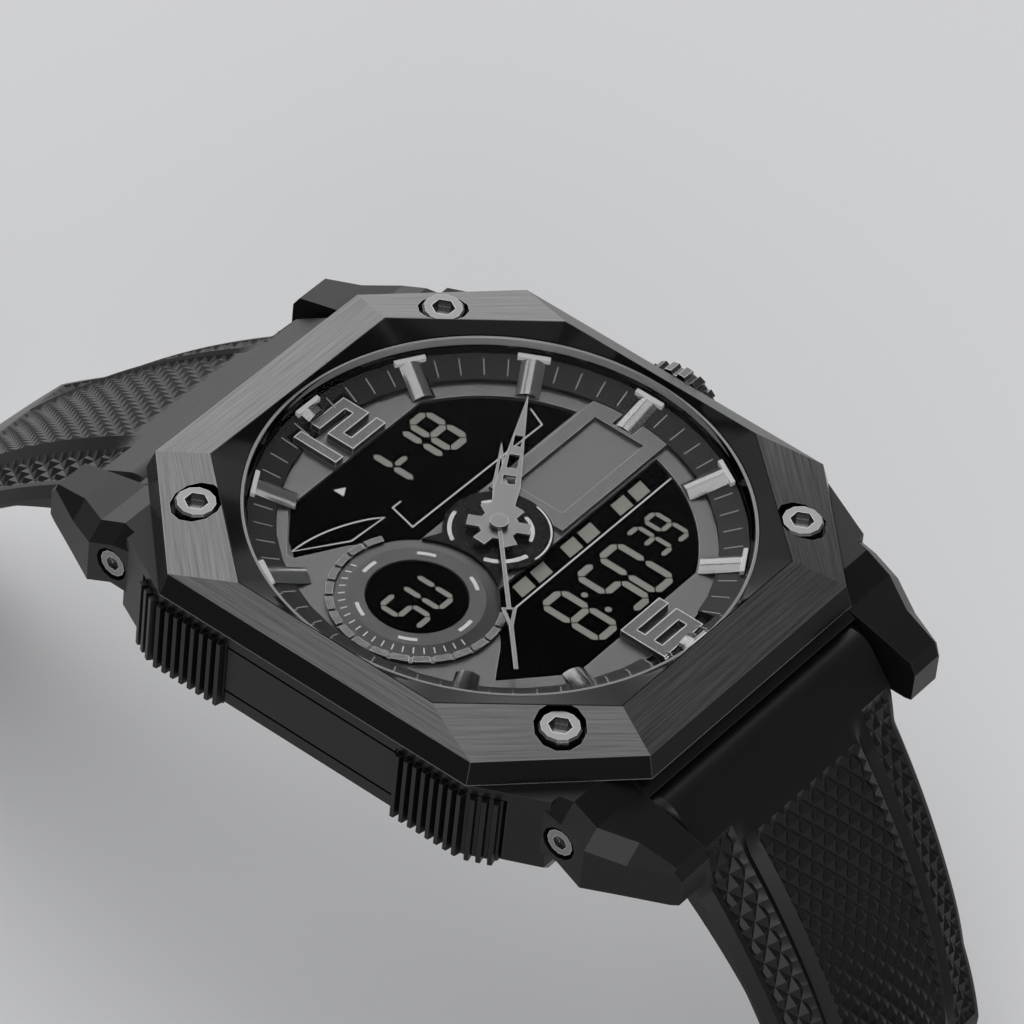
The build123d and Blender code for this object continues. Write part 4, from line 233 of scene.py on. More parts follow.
def mixed(tree, kind, factor, a, b):
    """A Mix node of the kind FLOAT or RGBA: a where the factor is 0, b where it is 1."""
    node = tree.nodes.new("ShaderNodeMix")
    node.data_type = kind
    feed(tree, node.inputs["Factor"], factor)
    feed(tree, node.inputs["A"], a)
    feed(tree, node.inputs["B"], b)
    return node.outputs["Result"]


# %% [markdown]
# No real edge is quite sharp, so it catches a thin line of light. Real bevels would multiply the faces, so that line
# is painted into the colour as a highlight. The Bevel node gives the normal that a bevel would have, and where it
# leaves the true normal there is an edge.

# %% Edge light
def build_edge_light():
    """Mask that is 1 near a sharp edge: 1 minus the true normal . the normal averaged over Width, times Gain."""
    group, given, out = new_group("edge_light", [("Width", 0.1), ("Gain", 6.0)], ["Mask"])
    soft = group.nodes.new("ShaderNodeBevel")
    soft.samples = 6
    feed(group, soft.inputs["Radius"], math(group, "MULTIPLY", given.outputs["Width"], MM))
    true = group.nodes.new("ShaderNodeNewGeometry").outputs["True Normal"]
    away = math(group, "SUBTRACT", 1.0, vector_math(group, "DOT_PRODUCT", soft.outputs["Normal"], true))
    feed(group, out.inputs["Mask"], math(group, "MULTIPLY", away, given.outputs["Gain"], clamp=True))
    return group


# %% [markdown]
# The bezel's scratches run level along each of its eight facets. One stretched noise would run the same way on all
# of them. Here the facet's own normal says which way is across and which is along.

# %% Brushed lines along each facet
UP = (0.0, 0.0, 1.0)
LEVEL = (1.0, 1.0, 0.0)
TO_MM = 1 / MM


def build_brushed():
    """Streaks that run level along whichever facet they are on.
    across = P.n and along = P.t, with n the level part of the normal and t square to it."""
    group, given, out = new_group("brushed_lines", [("Fineness", 9.0), ("Length", 0.12)], ["Streaks"])
    place = group.nodes.new("ShaderNodeTexCoord")
    n = vector_math(group, "NORMALIZE", vector_math(group, "MULTIPLY", place.outputs["Normal"], LEVEL))
    t = vector_math(group, "CROSS_PRODUCT", UP, n)
    joined = group.nodes.new("ShaderNodeCombineXYZ")
    for axis, (direction, share) in enumerate(((n, "Fineness"), (t, "Length"))):
        reach = math(group, "MULTIPLY", vector_math(group, "DOT_PRODUCT", place.outputs["Object"], direction), TO_MM)
        feed(group, joined.inputs[axis], math(group, "MULTIPLY", reach, given.outputs[share]))
    noise = group.nodes.new("ShaderNodeTexNoise")
    noise.noise_dimensions = "2D"
    for label, value in (("Scale", 1.0), ("Detail", 5.0), ("Roughness", 0.65), ("Vector", joined.outputs[0])):
        feed(group, noise.inputs[label], value)
    feed(group, out.inputs["Streaks"], noise.outputs["Fac"])
    return group


# %% [markdown]
# Rubber, plastic, paint and sandblasted metal have a fine grain instead. Two sizes of noise added together look less
# regular than one.

# %% Fine grain
def build_grain():
    """Two sizes of noise in Object coordinates, Fineness cells to a millimetre, added together and halved."""
    group, given, out = new_group("fine_grain", [("Fineness", 8.0)], ["Grain"])
    place = group.nodes.new("ShaderNodeTexCoord")
    parts = []
    for share in (TO_MM, 0.19 * TO_MM):
        noise = group.nodes.new("ShaderNodeTexNoise")
        feed(group, noise.inputs["Detail"], 3.0)
        feed(group, noise.inputs["Vector"], place.outputs["Object"])
        feed(group, noise.inputs["Scale"], math(group, "MULTIPLY", given.outputs["Fineness"], share))
        parts.append(noise.outputs["Fac"])
    feed(group, out.inputs["Grain"], math(group, "MULTIPLY", math(group, "ADD", *parts), 0.5))
    return group


# %% [markdown]
# The bezel is one solid with two finishes: brushed on the facets that look up and outwards, polished black on the
# rest. Its mesh isn't split, because the direction of a face already tells them apart.

# %% Which way a face looks
def build_outward():
    """Mask that is 1 where a face looks up and away from the middle: normal z over Lift, and level P . n over 0."""
    group, given, out = new_group("looks_outward", [("Lift", 0.5)], ["Mask"])
    place = group.nodes.new("ShaderNodeTexCoord")
    level = vector_math(group, "MULTIPLY", place.outputs["Normal"], LEVEL)
    apart = group.nodes.new("ShaderNodeSeparateXYZ")
    feed(group, apart.inputs[0], place.outputs["Normal"])
    lifted = math(group, "GREATER_THAN", apart.outputs["Z"], given.outputs["Lift"])
    away = math(group, "GREATER_THAN", vector_math(group, "DOT_PRODUCT", place.outputs["Object"], level), 0.0)
    feed(group, out.inputs["Mask"], math(group, "MULTIPLY", lifted, away))
    return group


edge_light, brushed_lines = build_edge_light(), build_brushed()
fine_grain, looks_outward = build_grain(), build_outward()
print("shared effects:", [group.name for group in bpy.data.node_groups])

# %% [markdown]
# ## Finishes
#
# One function builds every opaque finish: a base colour that varies with the grain or the brushing, a painted
# highlight on the edges, and a roughness that follows the same pattern. The case is dark, the dial's plates are
# lighter and the print is almost white.

# %% One builder for the opaque finishes
ROUGH_REACH = 0.08


def placed_group(tree, group, **values):
    """A node group in a material, with its own values."""
    node = tree.nodes.new("ShaderNodeGroup")
    node.node_tree = group
    for label, value in values.items():
        node.inputs[label].default_value = value
    return node.outputs[0]


def new_material(name, values):
    """A material with its tree and its Principled shader; values are given by the names of the shader's sockets."""
    material = bpy.data.materials.new(name)
    material.use_nodes = True
    shader = material.node_tree.nodes["Principled BSDF"]
    for label, value in values.items():
        shader.inputs[label].default_value = value
    return material, material.node_tree, shader


def colour4(value, share=1.0):
    """A linear grey or RGB value as four numbers, times a share, no brighter than 1."""
    return (*np.minimum(np.broadcast_to(np.asarray(value, float), 3) * share, 1), 1)


def opaque(
    name, colour, rough, metal=0.0, gloss=0.5, spread=0.1, edge=None, fineness=6.0, brushed=0.0, bump=0.0,
    inward=None,
):
    """spread is how far the pattern moves the colour; edge is the painted edge highlight: its colour, width and
    gain.
    inward is colour and roughness of the faces that don't look up and outwards, where a piece has two finishes."""
    material, tree, shader = new_material(name, {"Metallic": metal, "Specular IOR Level": gloss})
    if brushed:
        pattern = placed_group(tree, brushed_lines, Fineness=brushed)
    else:
        pattern = placed_group(tree, fine_grain, Fineness=fineness)
    last = mixed(tree, "RGBA", pattern, colour4(colour, 1 - spread), colour4(colour, 1 + spread))
    ranged = tree.nodes.new("ShaderNodeMapRange")
    low, high = max(rough - ROUGH_REACH, 0.02), min(rough + ROUGH_REACH, 1.0)
    for label, value in (("Value", pattern), ("To Min", low), ("To Max", high)):
        feed(tree, ranged.inputs[label], value)
    rough_now = ranged.outputs["Result"]
    if inward is not None:
        facing = placed_group(tree, looks_outward)
        last = mixed(tree, "RGBA", facing, colour4(inward[0]), last)
        rough_now = mixed(tree, "FLOAT", facing, inward[1], rough_now)
    if edge is not None:
        # Painted highlight: the edge colour is mixed into the base colour near sharp edges, where a bevel would
        # catch light.
        painted_highlight_mask = placed_group(tree, edge_light, Width=edge[1], Gain=edge[2])
        last = mixed(tree, "RGBA", painted_highlight_mask, last, colour4(edge[0]))
    tree.links.new(last, shader.inputs["Base Color"])
    tree.links.new(rough_now, shader.inputs["Roughness"])
    if bump:
        raised = tree.nodes.new("ShaderNodeBump")
        for label, value in (("Distance", bump * MM), ("Strength", 1.0), ("Height", pattern)):
            feed(tree, raised.inputs[label], value)
        tree.links.new(raised.outputs["Normal"], shader.inputs["Normal"])
    return material


# %% [markdown]
# Gunmetal with strong streaks, near black rubber and paint, grey satin plates, and brighter steel on markers and
# screws. The windows reflect almost nothing under the crystal, so their refraction is close to that of air.

# %% Finishes of the case, the dial and the strap
# Each edge triple is a painted highlight on the piece's edges: its colour, width and gain.
finish = {
    "bezel": opaque(
        "bezel_gunmetal", 0.135, 0.31, metal=1.0, spread=0.7, brushed=7.0, bump=0.010, edge=(0.26, 0.14, 4.0),
        inward=(0.012, 0.16),
    ),
    "case": opaque(
        "case_black", 0.0045, 0.34, spread=0.2, fineness=10, bump=0.002, edge=(0.045, 0.09, 3.0), gloss=0.25,
    ),
    "gloss": opaque("gloss_black", 0.003, 0.14, gloss=0.12),
    "middle": opaque("middle_black", 0.003, 0.25, gloss=0.06),
    "crown": opaque("crown_steel", 0.12, 0.22, metal=1.0, fineness=12, edge=(0.6, 0.12, 5.0)),
    "screw": opaque("screw_steel", 0.22, 0.26, metal=1.0, spread=0.12, fineness=12, edge=(0.62, 0.12, 6.0)),
    "steel": opaque("polished_steel", 0.27, 0.15, metal=1.0, fineness=14, edge=(0.5, 0.08, 5.0)),
    "rim": opaque("rim_steel", 0.10, 0.25, metal=1.0, fineness=14, edge=(0.42, 0.06, 5.0)),
    "numeral": opaque("numeral_steel", 0.085, 0.34, metal=0.8, spread=0.08, fineness=14, edge=(0.62, 0.17, 9.0)),
    "hand": opaque("hand_steel", 0.15, 0.32, metal=1.0, spread=0.08, fineness=14, edge=(0.5, 0.08, 6.0)),
    "ring_pale": opaque("ring_pale", 0.28, 0.30, metal=0.1, spread=0.06, edge=(0.55, 0.05, 6.0)),
    "ring": opaque("ring_grey", 0.010, 0.40, spread=0.12, fineness=12, bump=0.002, gloss=0.15),
    "dial": opaque(
        "dial_satin", 0.095, 0.34, metal=0.8, spread=0.12, fineness=14, bump=0.002, edge=(0.55, 0.05, 6.0),
    ),
    "turret": opaque("turret_grey", 0.055, 0.30, metal=0.8, fineness=12, bump=0.001),
    "lcd": opaque("window_black", 0.0008, 0.4, fineness=20, gloss=0.0),
    "segment": opaque("segment_grey", (0.24, 0.245, 0.215), 0.55, fineness=10, gloss=0.1),
    "print": opaque("print_white", 0.60, 0.5, spread=0.04, fineness=16, gloss=0.2),
    "mark": opaque("mark_grey", 0.28, 0.5, spread=0.04, fineness=16, gloss=0.2),
    "rubber": opaque(
        "strap_rubber", 0.0045, 0.36, spread=0.25, fineness=5, bump=0.003, edge=(0.03, 0.07, 2.5), gloss=0.3,
    ),
    "seal": opaque("seal_rubber", 0.012, 0.6, spread=0.2, fineness=8, bump=0.006),
    "holder": opaque("holder_plastic", 0.05, 0.5, spread=0.15, fineness=8, bump=0.004),
    "plate": opaque("bridge_steel", 0.45, 0.35, metal=1.0, brushed=12.0, bump=0.003),
    "board": opaque("board_green", (0.012, 0.07, 0.03), 0.45, spread=0.2),
    "brass": opaque("gear_brass", (0.60, 0.42, 0.16), 0.3, metal=1.0, spread=0.08, fineness=10),
    "copper": opaque("coil_copper", (0.55, 0.21, 0.09), 0.35, metal=1.0, spread=0.15, fineness=14),
    "back": opaque("back_steel", 0.42, 0.34, metal=1.0, spread=0.15, brushed=10.0, bump=0.004, edge=(0.7, 0.1, 6.0)),
    "buckle": opaque("buckle_black", 0.05, 0.34, metal=1.0, spread=0.2, fineness=12, edge=(0.3, 0.12, 6.0)),
}
AIR_GAP_IOR = 1.02
finish["lcd"].node_tree.nodes["Principled BSDF"].inputs["IOR"].default_value = AIR_GAP_IOR
print("opaque finishes:", len(finish))

# %% [markdown]
# ## The crystal
#
# The glass is clear and coated against reflections, so it is given a low refraction. Glass stops lamp light in a
# path tracer, which would leave the dial dark; a Mix Shader lets shadow and diffuse rays straight through instead.

# %% Clear glass that lets lamp light in
def mixed_shader(tree, factor, first, second):
    """A Mix Shader node: the first shader where the factor is 0, the second where it is 1."""
    node = tree.nodes.new("ShaderNodeMixShader")
    for socket, value in zip(node.inputs, (factor, first, second)):
        tree.links.new(value, socket)
    return node.outputs["Shader"]


clear_values = {"Base Color": (1, 1, 1, 1), "Roughness": 0.0, "IOR": 1.05, "Transmission Weight": 1.0}
glass, tree, clear = new_material("crystal_glass", clear_values)
through = tree.nodes.new("ShaderNodeBsdfTransparent").outputs["BSDF"]
path = tree.nodes.new("ShaderNodeLightPath")
unseen = math(tree, "MAXIMUM", path.outputs["Is Shadow Ray"], path.outputs["Is Diffuse Ray"])
either = mixed_shader(tree, unseen, clear.outputs["BSDF"], through)
tree.links.new(either, tree.nodes["Material Output"].inputs["Surface"])
finish["glass"] = glass
print("glass refraction", clear.inputs["IOR"].default_value)

# %% [markdown]
# ## Dressing the CAD pieces
#
# Every CAD piece takes one of the finishes. A table of names is easy to check, and the last line shows whether a
# piece was forgotten.

# %% Which CAD piece has which finish
wears = {
    "bezel": "bezel",
    "case": "case_middle end_link_12 end_link_6 pusher_2 pusher_4 pusher_8 pusher_10",
    "crown": "crown",
    "middle": "centre_plate",
    "screw": "bezel_screws lug_screws case_back_screws",
    "steel": "hour_markers",
    "rim": "subdial_rim",
    "numeral": "numerals",
    "hand": "hour_hand minute_hand second_hand",
    "ring_pale": "crystal_gasket",
    "ring": "minute_ring",
    "dial": "dial_plate window_frame",
    "turret": "subdial_turret",
    "lcd": "lcd_panels",
    "glass": "crystal",
    "rubber": "strap_12 strap_6 keeper_loose",
    "seal": "crown_gasket pusher_gaskets case_back_gasket lcd_connectors",
    "holder": "movement_holder step_wheel rotor buzzer",
    "plate": "train_bridge battery battery_clip motor_stator crown_tube stem_clip strap_pins"
    " pusher_spring_2 pusher_spring_4 pusher_spring_8 pusher_spring_10",
    "board": "circuit_board",
    "brass": "second_wheel third_wheel centre_wheel cannon_pinion minute_wheel hour_wheel",
    "copper": "motor_coil",
    "back": "case_back",
    "buckle": "buckle_frame buckle_tongue buckle_pin",
}
for key, names in wears.items():
    for name in names.split():
        mesh = nodes[name].data
        mesh.materials.clear()
        mesh.materials.append(finish[key])
dressed = {name for names in wears.values() for name in names.split()}
print("without a finish:", sorted(set(nodes) - dressed))

# %% [markdown]
# ## The strap
#
# Each half of the strap is moulded rubber: a smooth bar at the case, then a centre panel and two side panels cut
# into small four-sided pyramids, with a smooth groove between them. The surface is a function of two parameters, the
# length along the strap and the place across it. Length gives a point and a heading on a chain of arcs; the place
# across gives how far the skin lies below the outer face. A pyramid is the smaller of two zigzags that run
# diagonally. The grid is as fine as half a pyramid's side, and each of its cells is cut along the diagonal that
# follows the groove or the ridge, so that flat triangles make crisp pyramids.

# %% The line of the strap and its width
PANEL_END = 33.0


def strap_line(start, runs, s):
    """y, z and heading at lengths s. Within an arc of radius R the heading grows by length / R."""
    y, z, heading = (np.full_like(s, value) for value in start)
    turned, before = start[2], 0.0
    for length, bend in runs:
        part = np.clip(s - before, 0, length)
        if bend:
            turn = part / bend
            y = y + bend * (np.sin(turned + turn) - np.sin(turned))
            z = z - bend * (np.cos(turned) - np.cos(turned + turn))
            heading = heading + turn
            turned += length / bend
        else:
            y = y + part * np.cos(turned)
            z = z - part * np.sin(turned)
        before += length
    return y, z, heading


def strap_half_width(s, total, tip):
    """Half width: a long taper to the end of the panels, a short shoulder, the tail, and a rounded tip if any."""
    wide = np.interp(s, [0, PANEL_END, PANEL_END + 2], [12.95, 10.9, 10.0])
    if not tip:
        return wide
    near = np.clip((s - (total - tip)) / tip, 0, 1)
    return wide * np.interp(near, [0, 0.3, 0.55, 0.75, 0.9, 1.0], [1, 0.98, 0.88, 0.72, 0.5, 0.26])


# %% [markdown]
# The panels rise behind the smooth bar at the case and fade out before the plain foot. The edge of the strap uses
# the same share, so it sinks together with the side panel.

# %% Relief across and along the strap
CELL, CUT, SIDE = 0.56, 0.34, 29
DROP = 1.3


def relief_share(s):
    """Share of the panels' form at length s: it grows over 3 mm from 3.5 mm on and fades over the last 6.5 mm."""
    return np.clip((s - 3.5) / 3, 0, 1) * np.clip((PANEL_END - s) / 6.5, 0, 1)


def strap_relief(k, s):
    """Depth of the skin below the outer face, in mm, for column k of -29 to 29 and length s.
    The middle panel is flat, then comes a V valley and a side panel that slopes down; pyramids are cut into both."""
    wide = np.abs(k)
    form = np.interp(wide, [0, 16, 18, 20, SIDE], [0, 0, 0.8, 0.33, DROP]) * relief_share(s)
    u, v = (k + s / CELL) / 2, (k - s / CELL) / 2
    peak = np.minimum(1 - np.abs(u % 2 - 1), 1 - np.abs(v % 2 - 1))
    zone = ((wide < 16) & (s > 5.3)) | ((wide > 20) & (wide < 28) & (s > 3.6))
    return form + CUT * (1 - peak) * (zone & (s < 32.4))


print("pyramids", 2 * CELL, "mm apart and", CUT, "mm deep")

# %% [markdown]
# The relief needs a row of points for every half pyramid. The foot is plain and does with wider rows, except round
# the holes and at the end, where the outline curves.

# %% Rows along the strap
RELIEF_ROWS, FOOT_START, WIDE_STEP, HOLE_STEP = 63, 35.9, 1.2, 0.4375


def strap_rows(total, holes, tip):
    """Lengths of the rows: half a pyramid apart on the relief, then wider, and close round the holes and the end."""
    parts = [np.arange(RELIEF_ROWS) * CELL]
    if len(holes):
        near = np.concatenate([hole + np.arange(-8, 8) * HOLE_STEP for hole in sorted(holes)])
        parts += [np.arange(FOOT_START, near[0] - 0.5, WIDE_STEP), near]
        parts += [np.linspace(near[-1] + 0.6, total - 1.5, 10)]
    else:
        parts += [np.arange(FOOT_START, total - 3.2, WIDE_STEP), np.linspace(total - 3.0, total - 2.0, 3)]
    return np.concatenate(parts + [np.linspace(total - (1.2 if tip else 1.6), total, 7)])


# %% [markdown]
# A strap half is a ring of points carried along the line. Its root wraps the pin in the lugs as half a circle. The
# foot of the 12 o'clock half swells to a loop round the buckle's pin, and the tip of the other one is drawn in.

# %% Skin of a strap half
KNUCKLE, LOOP, THINNER, BEVEL = 2.3, 1.75, 1.8, 0.8
ROOT_ROWS, CAP_ROWS = 7, 6
HOLE_RADIUS, HOLE_K, HOLE_ROWS = 1.2, 4, 3
HOLE_BLOCK = (HOLE_ROWS * HOLE_STEP, 1.324)


def strap_ends(s, total, tip):
    """Lengths, thicknesses, pull towards the end and squeeze of the section, with the rows of the round ends added.
    On a circle of radius R a row is pulled by R sin a and its half thickness becomes R cos a."""
    root = np.radians(np.linspace(84, 12, ROOT_ROWS))
    pull = np.concatenate([np.sin(root), np.zeros(len(s))]) * KNUCKLE
    squeeze = np.concatenate([np.cos(root), np.ones(len(s))])
    s = np.concatenate([np.zeros(ROOT_ROWS), s])
    thick = 2 * KNUCKLE - THINNER * np.minimum(1.0, s / 16)
    if not tip:
        swell = np.maximum(thick / 2, np.sqrt(np.maximum(LOOP**2 - (total - s) ** 2, 0)))
        squeeze = np.where(s > total - LOOP, swell / (thick / 2), squeeze)
        cap = np.radians(np.linspace(15, 84, CAP_ROWS))
        s = np.concatenate([s, np.full(CAP_ROWS, total)])
        thick = np.concatenate([thick, np.full(CAP_ROWS, thick[-1])])
        pull = np.concatenate([pull, -LOOP * np.sin(cap)])
        squeeze = np.concatenate([squeeze, LOOP * np.cos(cap) / (thick[-1] / 2)])
    return s, thick, pull, squeeze


def round_rims(x, along, holes):
    """Moves the rim of the block of cells at each hole onto a circle. The move fades out over as much again."""
    for hole in holes:
        away = along - hole
        block = np.maximum(np.abs(away) / HOLE_BLOCK[0], np.abs(x) / HOLE_BLOCK[1])
        reach = np.maximum(np.hypot(away, x), 0.01)
        weight = np.clip(2 - block, 0, 1)
        factor = (1 - weight) + weight * HOLE_RADIUS * block / reach
        x, along = x * factor, hole + away * factor
    return x, along


def strap_skin(start, runs, tip, mirror, holes=()):
    """Rows of 122 points. At depth d a point lies at the line minus d (sin h, cos h), where h is the heading."""
    total = sum(length for length, bend in runs)
    s, thick, pull, squeeze = strap_ends(strap_rows(total, holes, tip), total, tip)
    half_w = strap_half_width(s, total, tip)
    bevel = BEVEL * (1 - 0.5 * np.clip((s - PANEL_END) / 2, 0, 1))
    k = np.arange(-SIDE, SIDE + 1)[None, :]
    face_x = k / SIDE * (half_w - bevel)[:, None]
    face_x, along = round_rims(face_x, np.broadcast_to(s[:, None], face_x.shape), holes)
    outer_d = strap_relief(k, s[:, None])
    inner_d = np.broadcast_to(thick[:, None], outer_d.shape)
    edge_x = np.stack([half_w, half_w], 1)
    edge_d = np.stack([DROP * relief_share(s) + bevel, thick - bevel / 2], 1)
    still, moved = np.zeros_like(edge_x), along - s[:, None]
    x = np.concatenate([face_x, edge_x, face_x[:, ::-1], -edge_x], 1)
    depth = np.concatenate([outer_d, edge_d, inner_d, edge_d[:, ::-1]], 1)
    moved = np.concatenate([moved, still, moved[:, ::-1], still], 1)
    middle = (thick / 2)[:, None]
    depth = middle + (depth - middle) * squeeze[:, None]
    y, z, heading = strap_line(start, runs, s)
    sin_h, cos_h = np.sin(heading)[:, None], np.cos(heading)[:, None]
    py = y[:, None] - pull[:, None] * cos_h - depth * sin_h + moved * cos_h
    pz = z[:, None] + pull[:, None] * sin_h - depth * cos_h - moved * sin_h
    return np.stack([x, -py if mirror else py, pz], -1), s, total


# %% [markdown]
# Between the points lie cells. A hole is a block of cells left out, closed by a wall between the two faces; the slot
# for the buckle's tongue is the same at the end of the foot. Cutting holes with a boolean would break the even grid.

# %% Cells of a strap half, with holes and a slot left out
RING, SLOT_K, EDGE_K = 4 * SIDE + 6, 5, 99


def hole_loop(low, high):
    """Row and column of each rim point, once round a block of cells from column -4 to 4."""
    across, along = np.arange(-HOLE_K, HOLE_K), np.arange(low, high)
    sides = [
        (np.full_like(across, low), across), (along, np.full_like(along, HOLE_K)),
        (np.full_like(across, high), across[::-1] + 1), (along[::-1] + 1, np.full_like(along, -HOLE_K)),
    ]
    return np.concatenate([np.stack(side, 1) for side in sides]).T


def both_faces(row, k):
    """Numbers of the points of a row and a column k on the outer face, and of those below them on the inner face."""
    return row * RING + SIDE + k, row * RING + 3 * SIDE + 3 - k


def strap_faces(s, total, holes, slot_l):
    """Triangles of the ring grid, cut along the diagonal that keeps the pyramids crisp, then walls and end caps."""
    rows = len(s)
    row, column = np.meshgrid(np.arange(rows - 1), np.arange(RING), indexing="ij")
    face_k, edge = np.arange(-SIDE, SIDE + 1), [EDGE_K, EDGE_K]
    ring_k = np.concatenate([face_k, edge, face_k[::-1], edge])
    wide = np.maximum(np.abs(ring_k[column]), np.abs(ring_k[(column + 1) % RING]))
    left_out = np.zeros(row.shape, bool)
    walls = []
    for hole in holes:
        middle = int(np.argmin(np.abs(s - hole)))
        low, high = middle - HOLE_ROWS, middle + HOLE_ROWS
        left_out |= (wide <= HOLE_K) & (row >= low) & (row < high)
        outer, inner = both_faces(*hole_loop(low, high))
        walls += np.stack([outer, np.roll(outer, -1), np.roll(inner, -1), inner], 1).tolist()
    if slot_l:
        first = int(np.argmin(np.abs(s - (total - slot_l))))
        left_out |= (wide <= SLOT_K) & (row >= first)
    a, b = row * RING + column, row * RING + (column + 1) % RING
    even = ((column - SIDE + row - ROOT_ROWS) % 2 == 0)[~left_out]
    a, b, c, d = (corner[~left_out] for corner in (a, b, b + RING, a + RING))
    one = np.where(even[:, None], np.stack([a, b, c], 1), np.stack([a, b, d], 1))
    two = np.where(even[:, None], np.stack([a, c, d], 1), np.stack([b, c, d], 1))
    faces = one.tolist() + two.tolist() + walls
    root, end = np.arange(RING)[::-1].tolist(), (rows - 1) * RING
    if not slot_l:
        return faces + [root, (end + np.arange(RING)).tolist()]
    for side in (-SLOT_K, SLOT_K):
        outer, inner = both_faces(np.arange(first, rows - 1), side)
        faces += np.stack([outer, outer + RING, inner + RING, inner], 1).tolist()
    outer, inner = both_faces(first, np.arange(-SLOT_K, SLOT_K))
    faces += np.stack([outer, outer + 1, inner - 1, inner], 1).tolist()
    (left_outer, left_inner), (right_outer, right_inner) = both_faces(0, -SLOT_K), both_faces(0, SLOT_K)
    right = np.arange(right_outer, right_inner + 1)
    left = np.concatenate([np.arange(left_outer + 1), np.arange(left_inner, RING)])
    return faces + [root, (end + right).tolist(), (end + left).tolist()]


def used_only(points, faces):
    """Drops points that no face uses and numbers the rest again."""
    keep = np.unique(np.concatenate([np.asarray(face) for face in faces]))
    fresh = np.zeros(len(points), int)
    fresh[keep] = np.arange(len(keep))
    return points[keep], [fresh[face].tolist() for face in faces]


print("points round a half:", RING)

# %% [markdown]
# Each half is a start and a few runs, pairs of length and radius with 0 for a straight one. The last bend turns back
# by the whole heading, so that the watch stands on level feet. Seven holes follow the tip, 7 mm apart.

# %% The two halves
PIN_Y, PIN_Z = 25.45, 6.35


def strap_start(angle):
    """Where the outer face begins: over the pin, at the knuckle's radius."""
    h = np.radians(angle)
    return (PIN_Y + KNUCKLE * np.sin(h), PIN_Z + KNUCKLE * np.cos(h), h)


runs_12 = ((38.0, 95.0), (12.0, 0.0), (15.056833, -16.0), (20.0, 0.0))
runs_6 = ((22.0, 70.0), (12.0, 30.0), (22.199447, -14.802751), (43.0, 0.0), (9.0, 0.0))
holes_6 = tuple(sum(length for length, bend in runs_6) - 11 - 7 * k for k in range(7))
points_12, s_12, total_12 = strap_skin(strap_start(31), runs_12, 0.0, False)
points_6, s_6, total_6 = strap_skin(strap_start(45), runs_6, 9.0, True, holes_6)
skin_12 = used_only(points_12.reshape(-1, 3), strap_faces(s_12, total_12, (), 3.0))
skin_6 = used_only(points_6.reshape(-1, 3), strap_faces(s_6, total_6, holes_6, 0.0))
strap_12 = make_piece("strap_12_skin", *skin_12, finish["rubber"], "strap_12", "strap_rubber", 20)
strap_6 = make_piece("strap_6_skin", *skin_6, finish["rubber"], "strap_6", "strap_rubber", 20)
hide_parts("strap_12")
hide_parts("strap_6")

# %% [markdown]
# ## Keepers
#
# Two rubber loops hold the strap's tail: one is part of the 12 o'clock half, the other slides. A loop is a rounded
# rectangle carried round a larger rounded rectangle, so both outlines are the same function with other sizes. The
# sliding one has 0.45 mm of play below the strap.

# %% A band carried round a rounded rectangle
WALL = 1.1
TOP_DEPTH, UNDER_DEPTH = -3.2 - WALL / 2, 2.8 + WALL / 2
foot_z = strap_line(strap_start(31), runs_12, np.array([total_12]))[1][0]
print("outer face of the foot at", round(foot_z, 3), "mm")


def rounded_box(half_a, half_b, corner, steps):
    """Closed outline of a rectangle with quarter-circle corners, anticlockwise, with its outward unit normals."""
    turn = np.radians(np.linspace(0, 90, steps))
    spots, normals = [], []
    for quarter, (sa, sb) in enumerate(((1, 1), (-1, 1), (-1, -1), (1, -1))):
        normal = unit(turn + quarter * np.pi / 2)
        spots.append(np.array([sa * (half_a - corner), sb * (half_b - corner)]) + corner * normal)
        normals.append(normal)
    return np.concatenate(spots), np.concatenate(normals)


def keeper_loop(y, out_depth, length):
    """Loop round the strap's foot at y: a path in the plane across it, and a section of wall by length.
    Depths count downwards from the outer face of the foot."""
    half_d, mid_d = (out_depth - TOP_DEPTH) / 2, (out_depth + TOP_DEPTH) / 2
    ring, outward = rounded_box(10.4 + WALL / 2, half_d, 0.9, 6)
    band, _ = rounded_box(WALL / 2 - 0.02, length / 2, 0.3, 4)
    x = ring[:, None, 0] + outward[:, None, 0] * band[None, :, 0]
    d = mid_d + ring[:, None, 1] + outward[:, None, 1] * band[None, :, 0]
    along = np.broadcast_to(band[None, :, 1], x.shape)
    return np.stack([x, y + along, foot_z - d], -1).reshape(-1, 3), grid_faces(*x.shape, True, True)


keeper_slid = make_piece(
    "keeper_slid", *keeper_loop(82.881, UNDER_DEPTH + 0.45, 4.6), finish["rubber"], "keeper", "strap_rubber",
)
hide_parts("keeper_loose")
make_piece("keeper_fixed", *keeper_loop(89.881, UNDER_DEPTH, 4.4), finish["rubber"], "strap_12", "strap_rubber")

# %% [markdown]
# ## Rings round the glass
#
# The bezel's inner wall is a dish: its upper edge is the eight-sided ridge and its lower edge the round opening for
# the glass. A ruled surface joins them, one straight line for each direction seen from the middle. The pale ring
# round the glass, the glass itself and the small dial's step are turned on a lathe: a profile carried once round.

# %% The dish between ridge and glass
RIDGE_SIDE, RIDGE_END = (20.1, 9.4), (10.65, 20.05)
GLASS_HOLE, ROUND_STEPS = 19.9, 240


def ridge_radius(turn):
    """Distance from the middle to the ridge octagon: the nearest of its eight sides, d / cos(turn - side)."""
    (side_x, side_y), (end_x, end_y) = RIDGE_SIDE, RIDGE_END
    across, along = side_x - end_x, end_y - side_y
    lean = np.arctan2(across, along)
    slanted = (end_x * along + end_y * across) / np.hypot(along, across)
    sides = np.concatenate([np.radians([0, 90, 180, 270]), [lean, np.pi - lean, np.pi + lean, -lean]])
    reach = np.array([side_x, end_y] * 2 + [slanted] * 4)
    facing = np.cos(turn[:, None] - sides[None, :])
    return np.where(facing > 0.2, reach / np.maximum(facing, 0.2), 1e9).min(1)


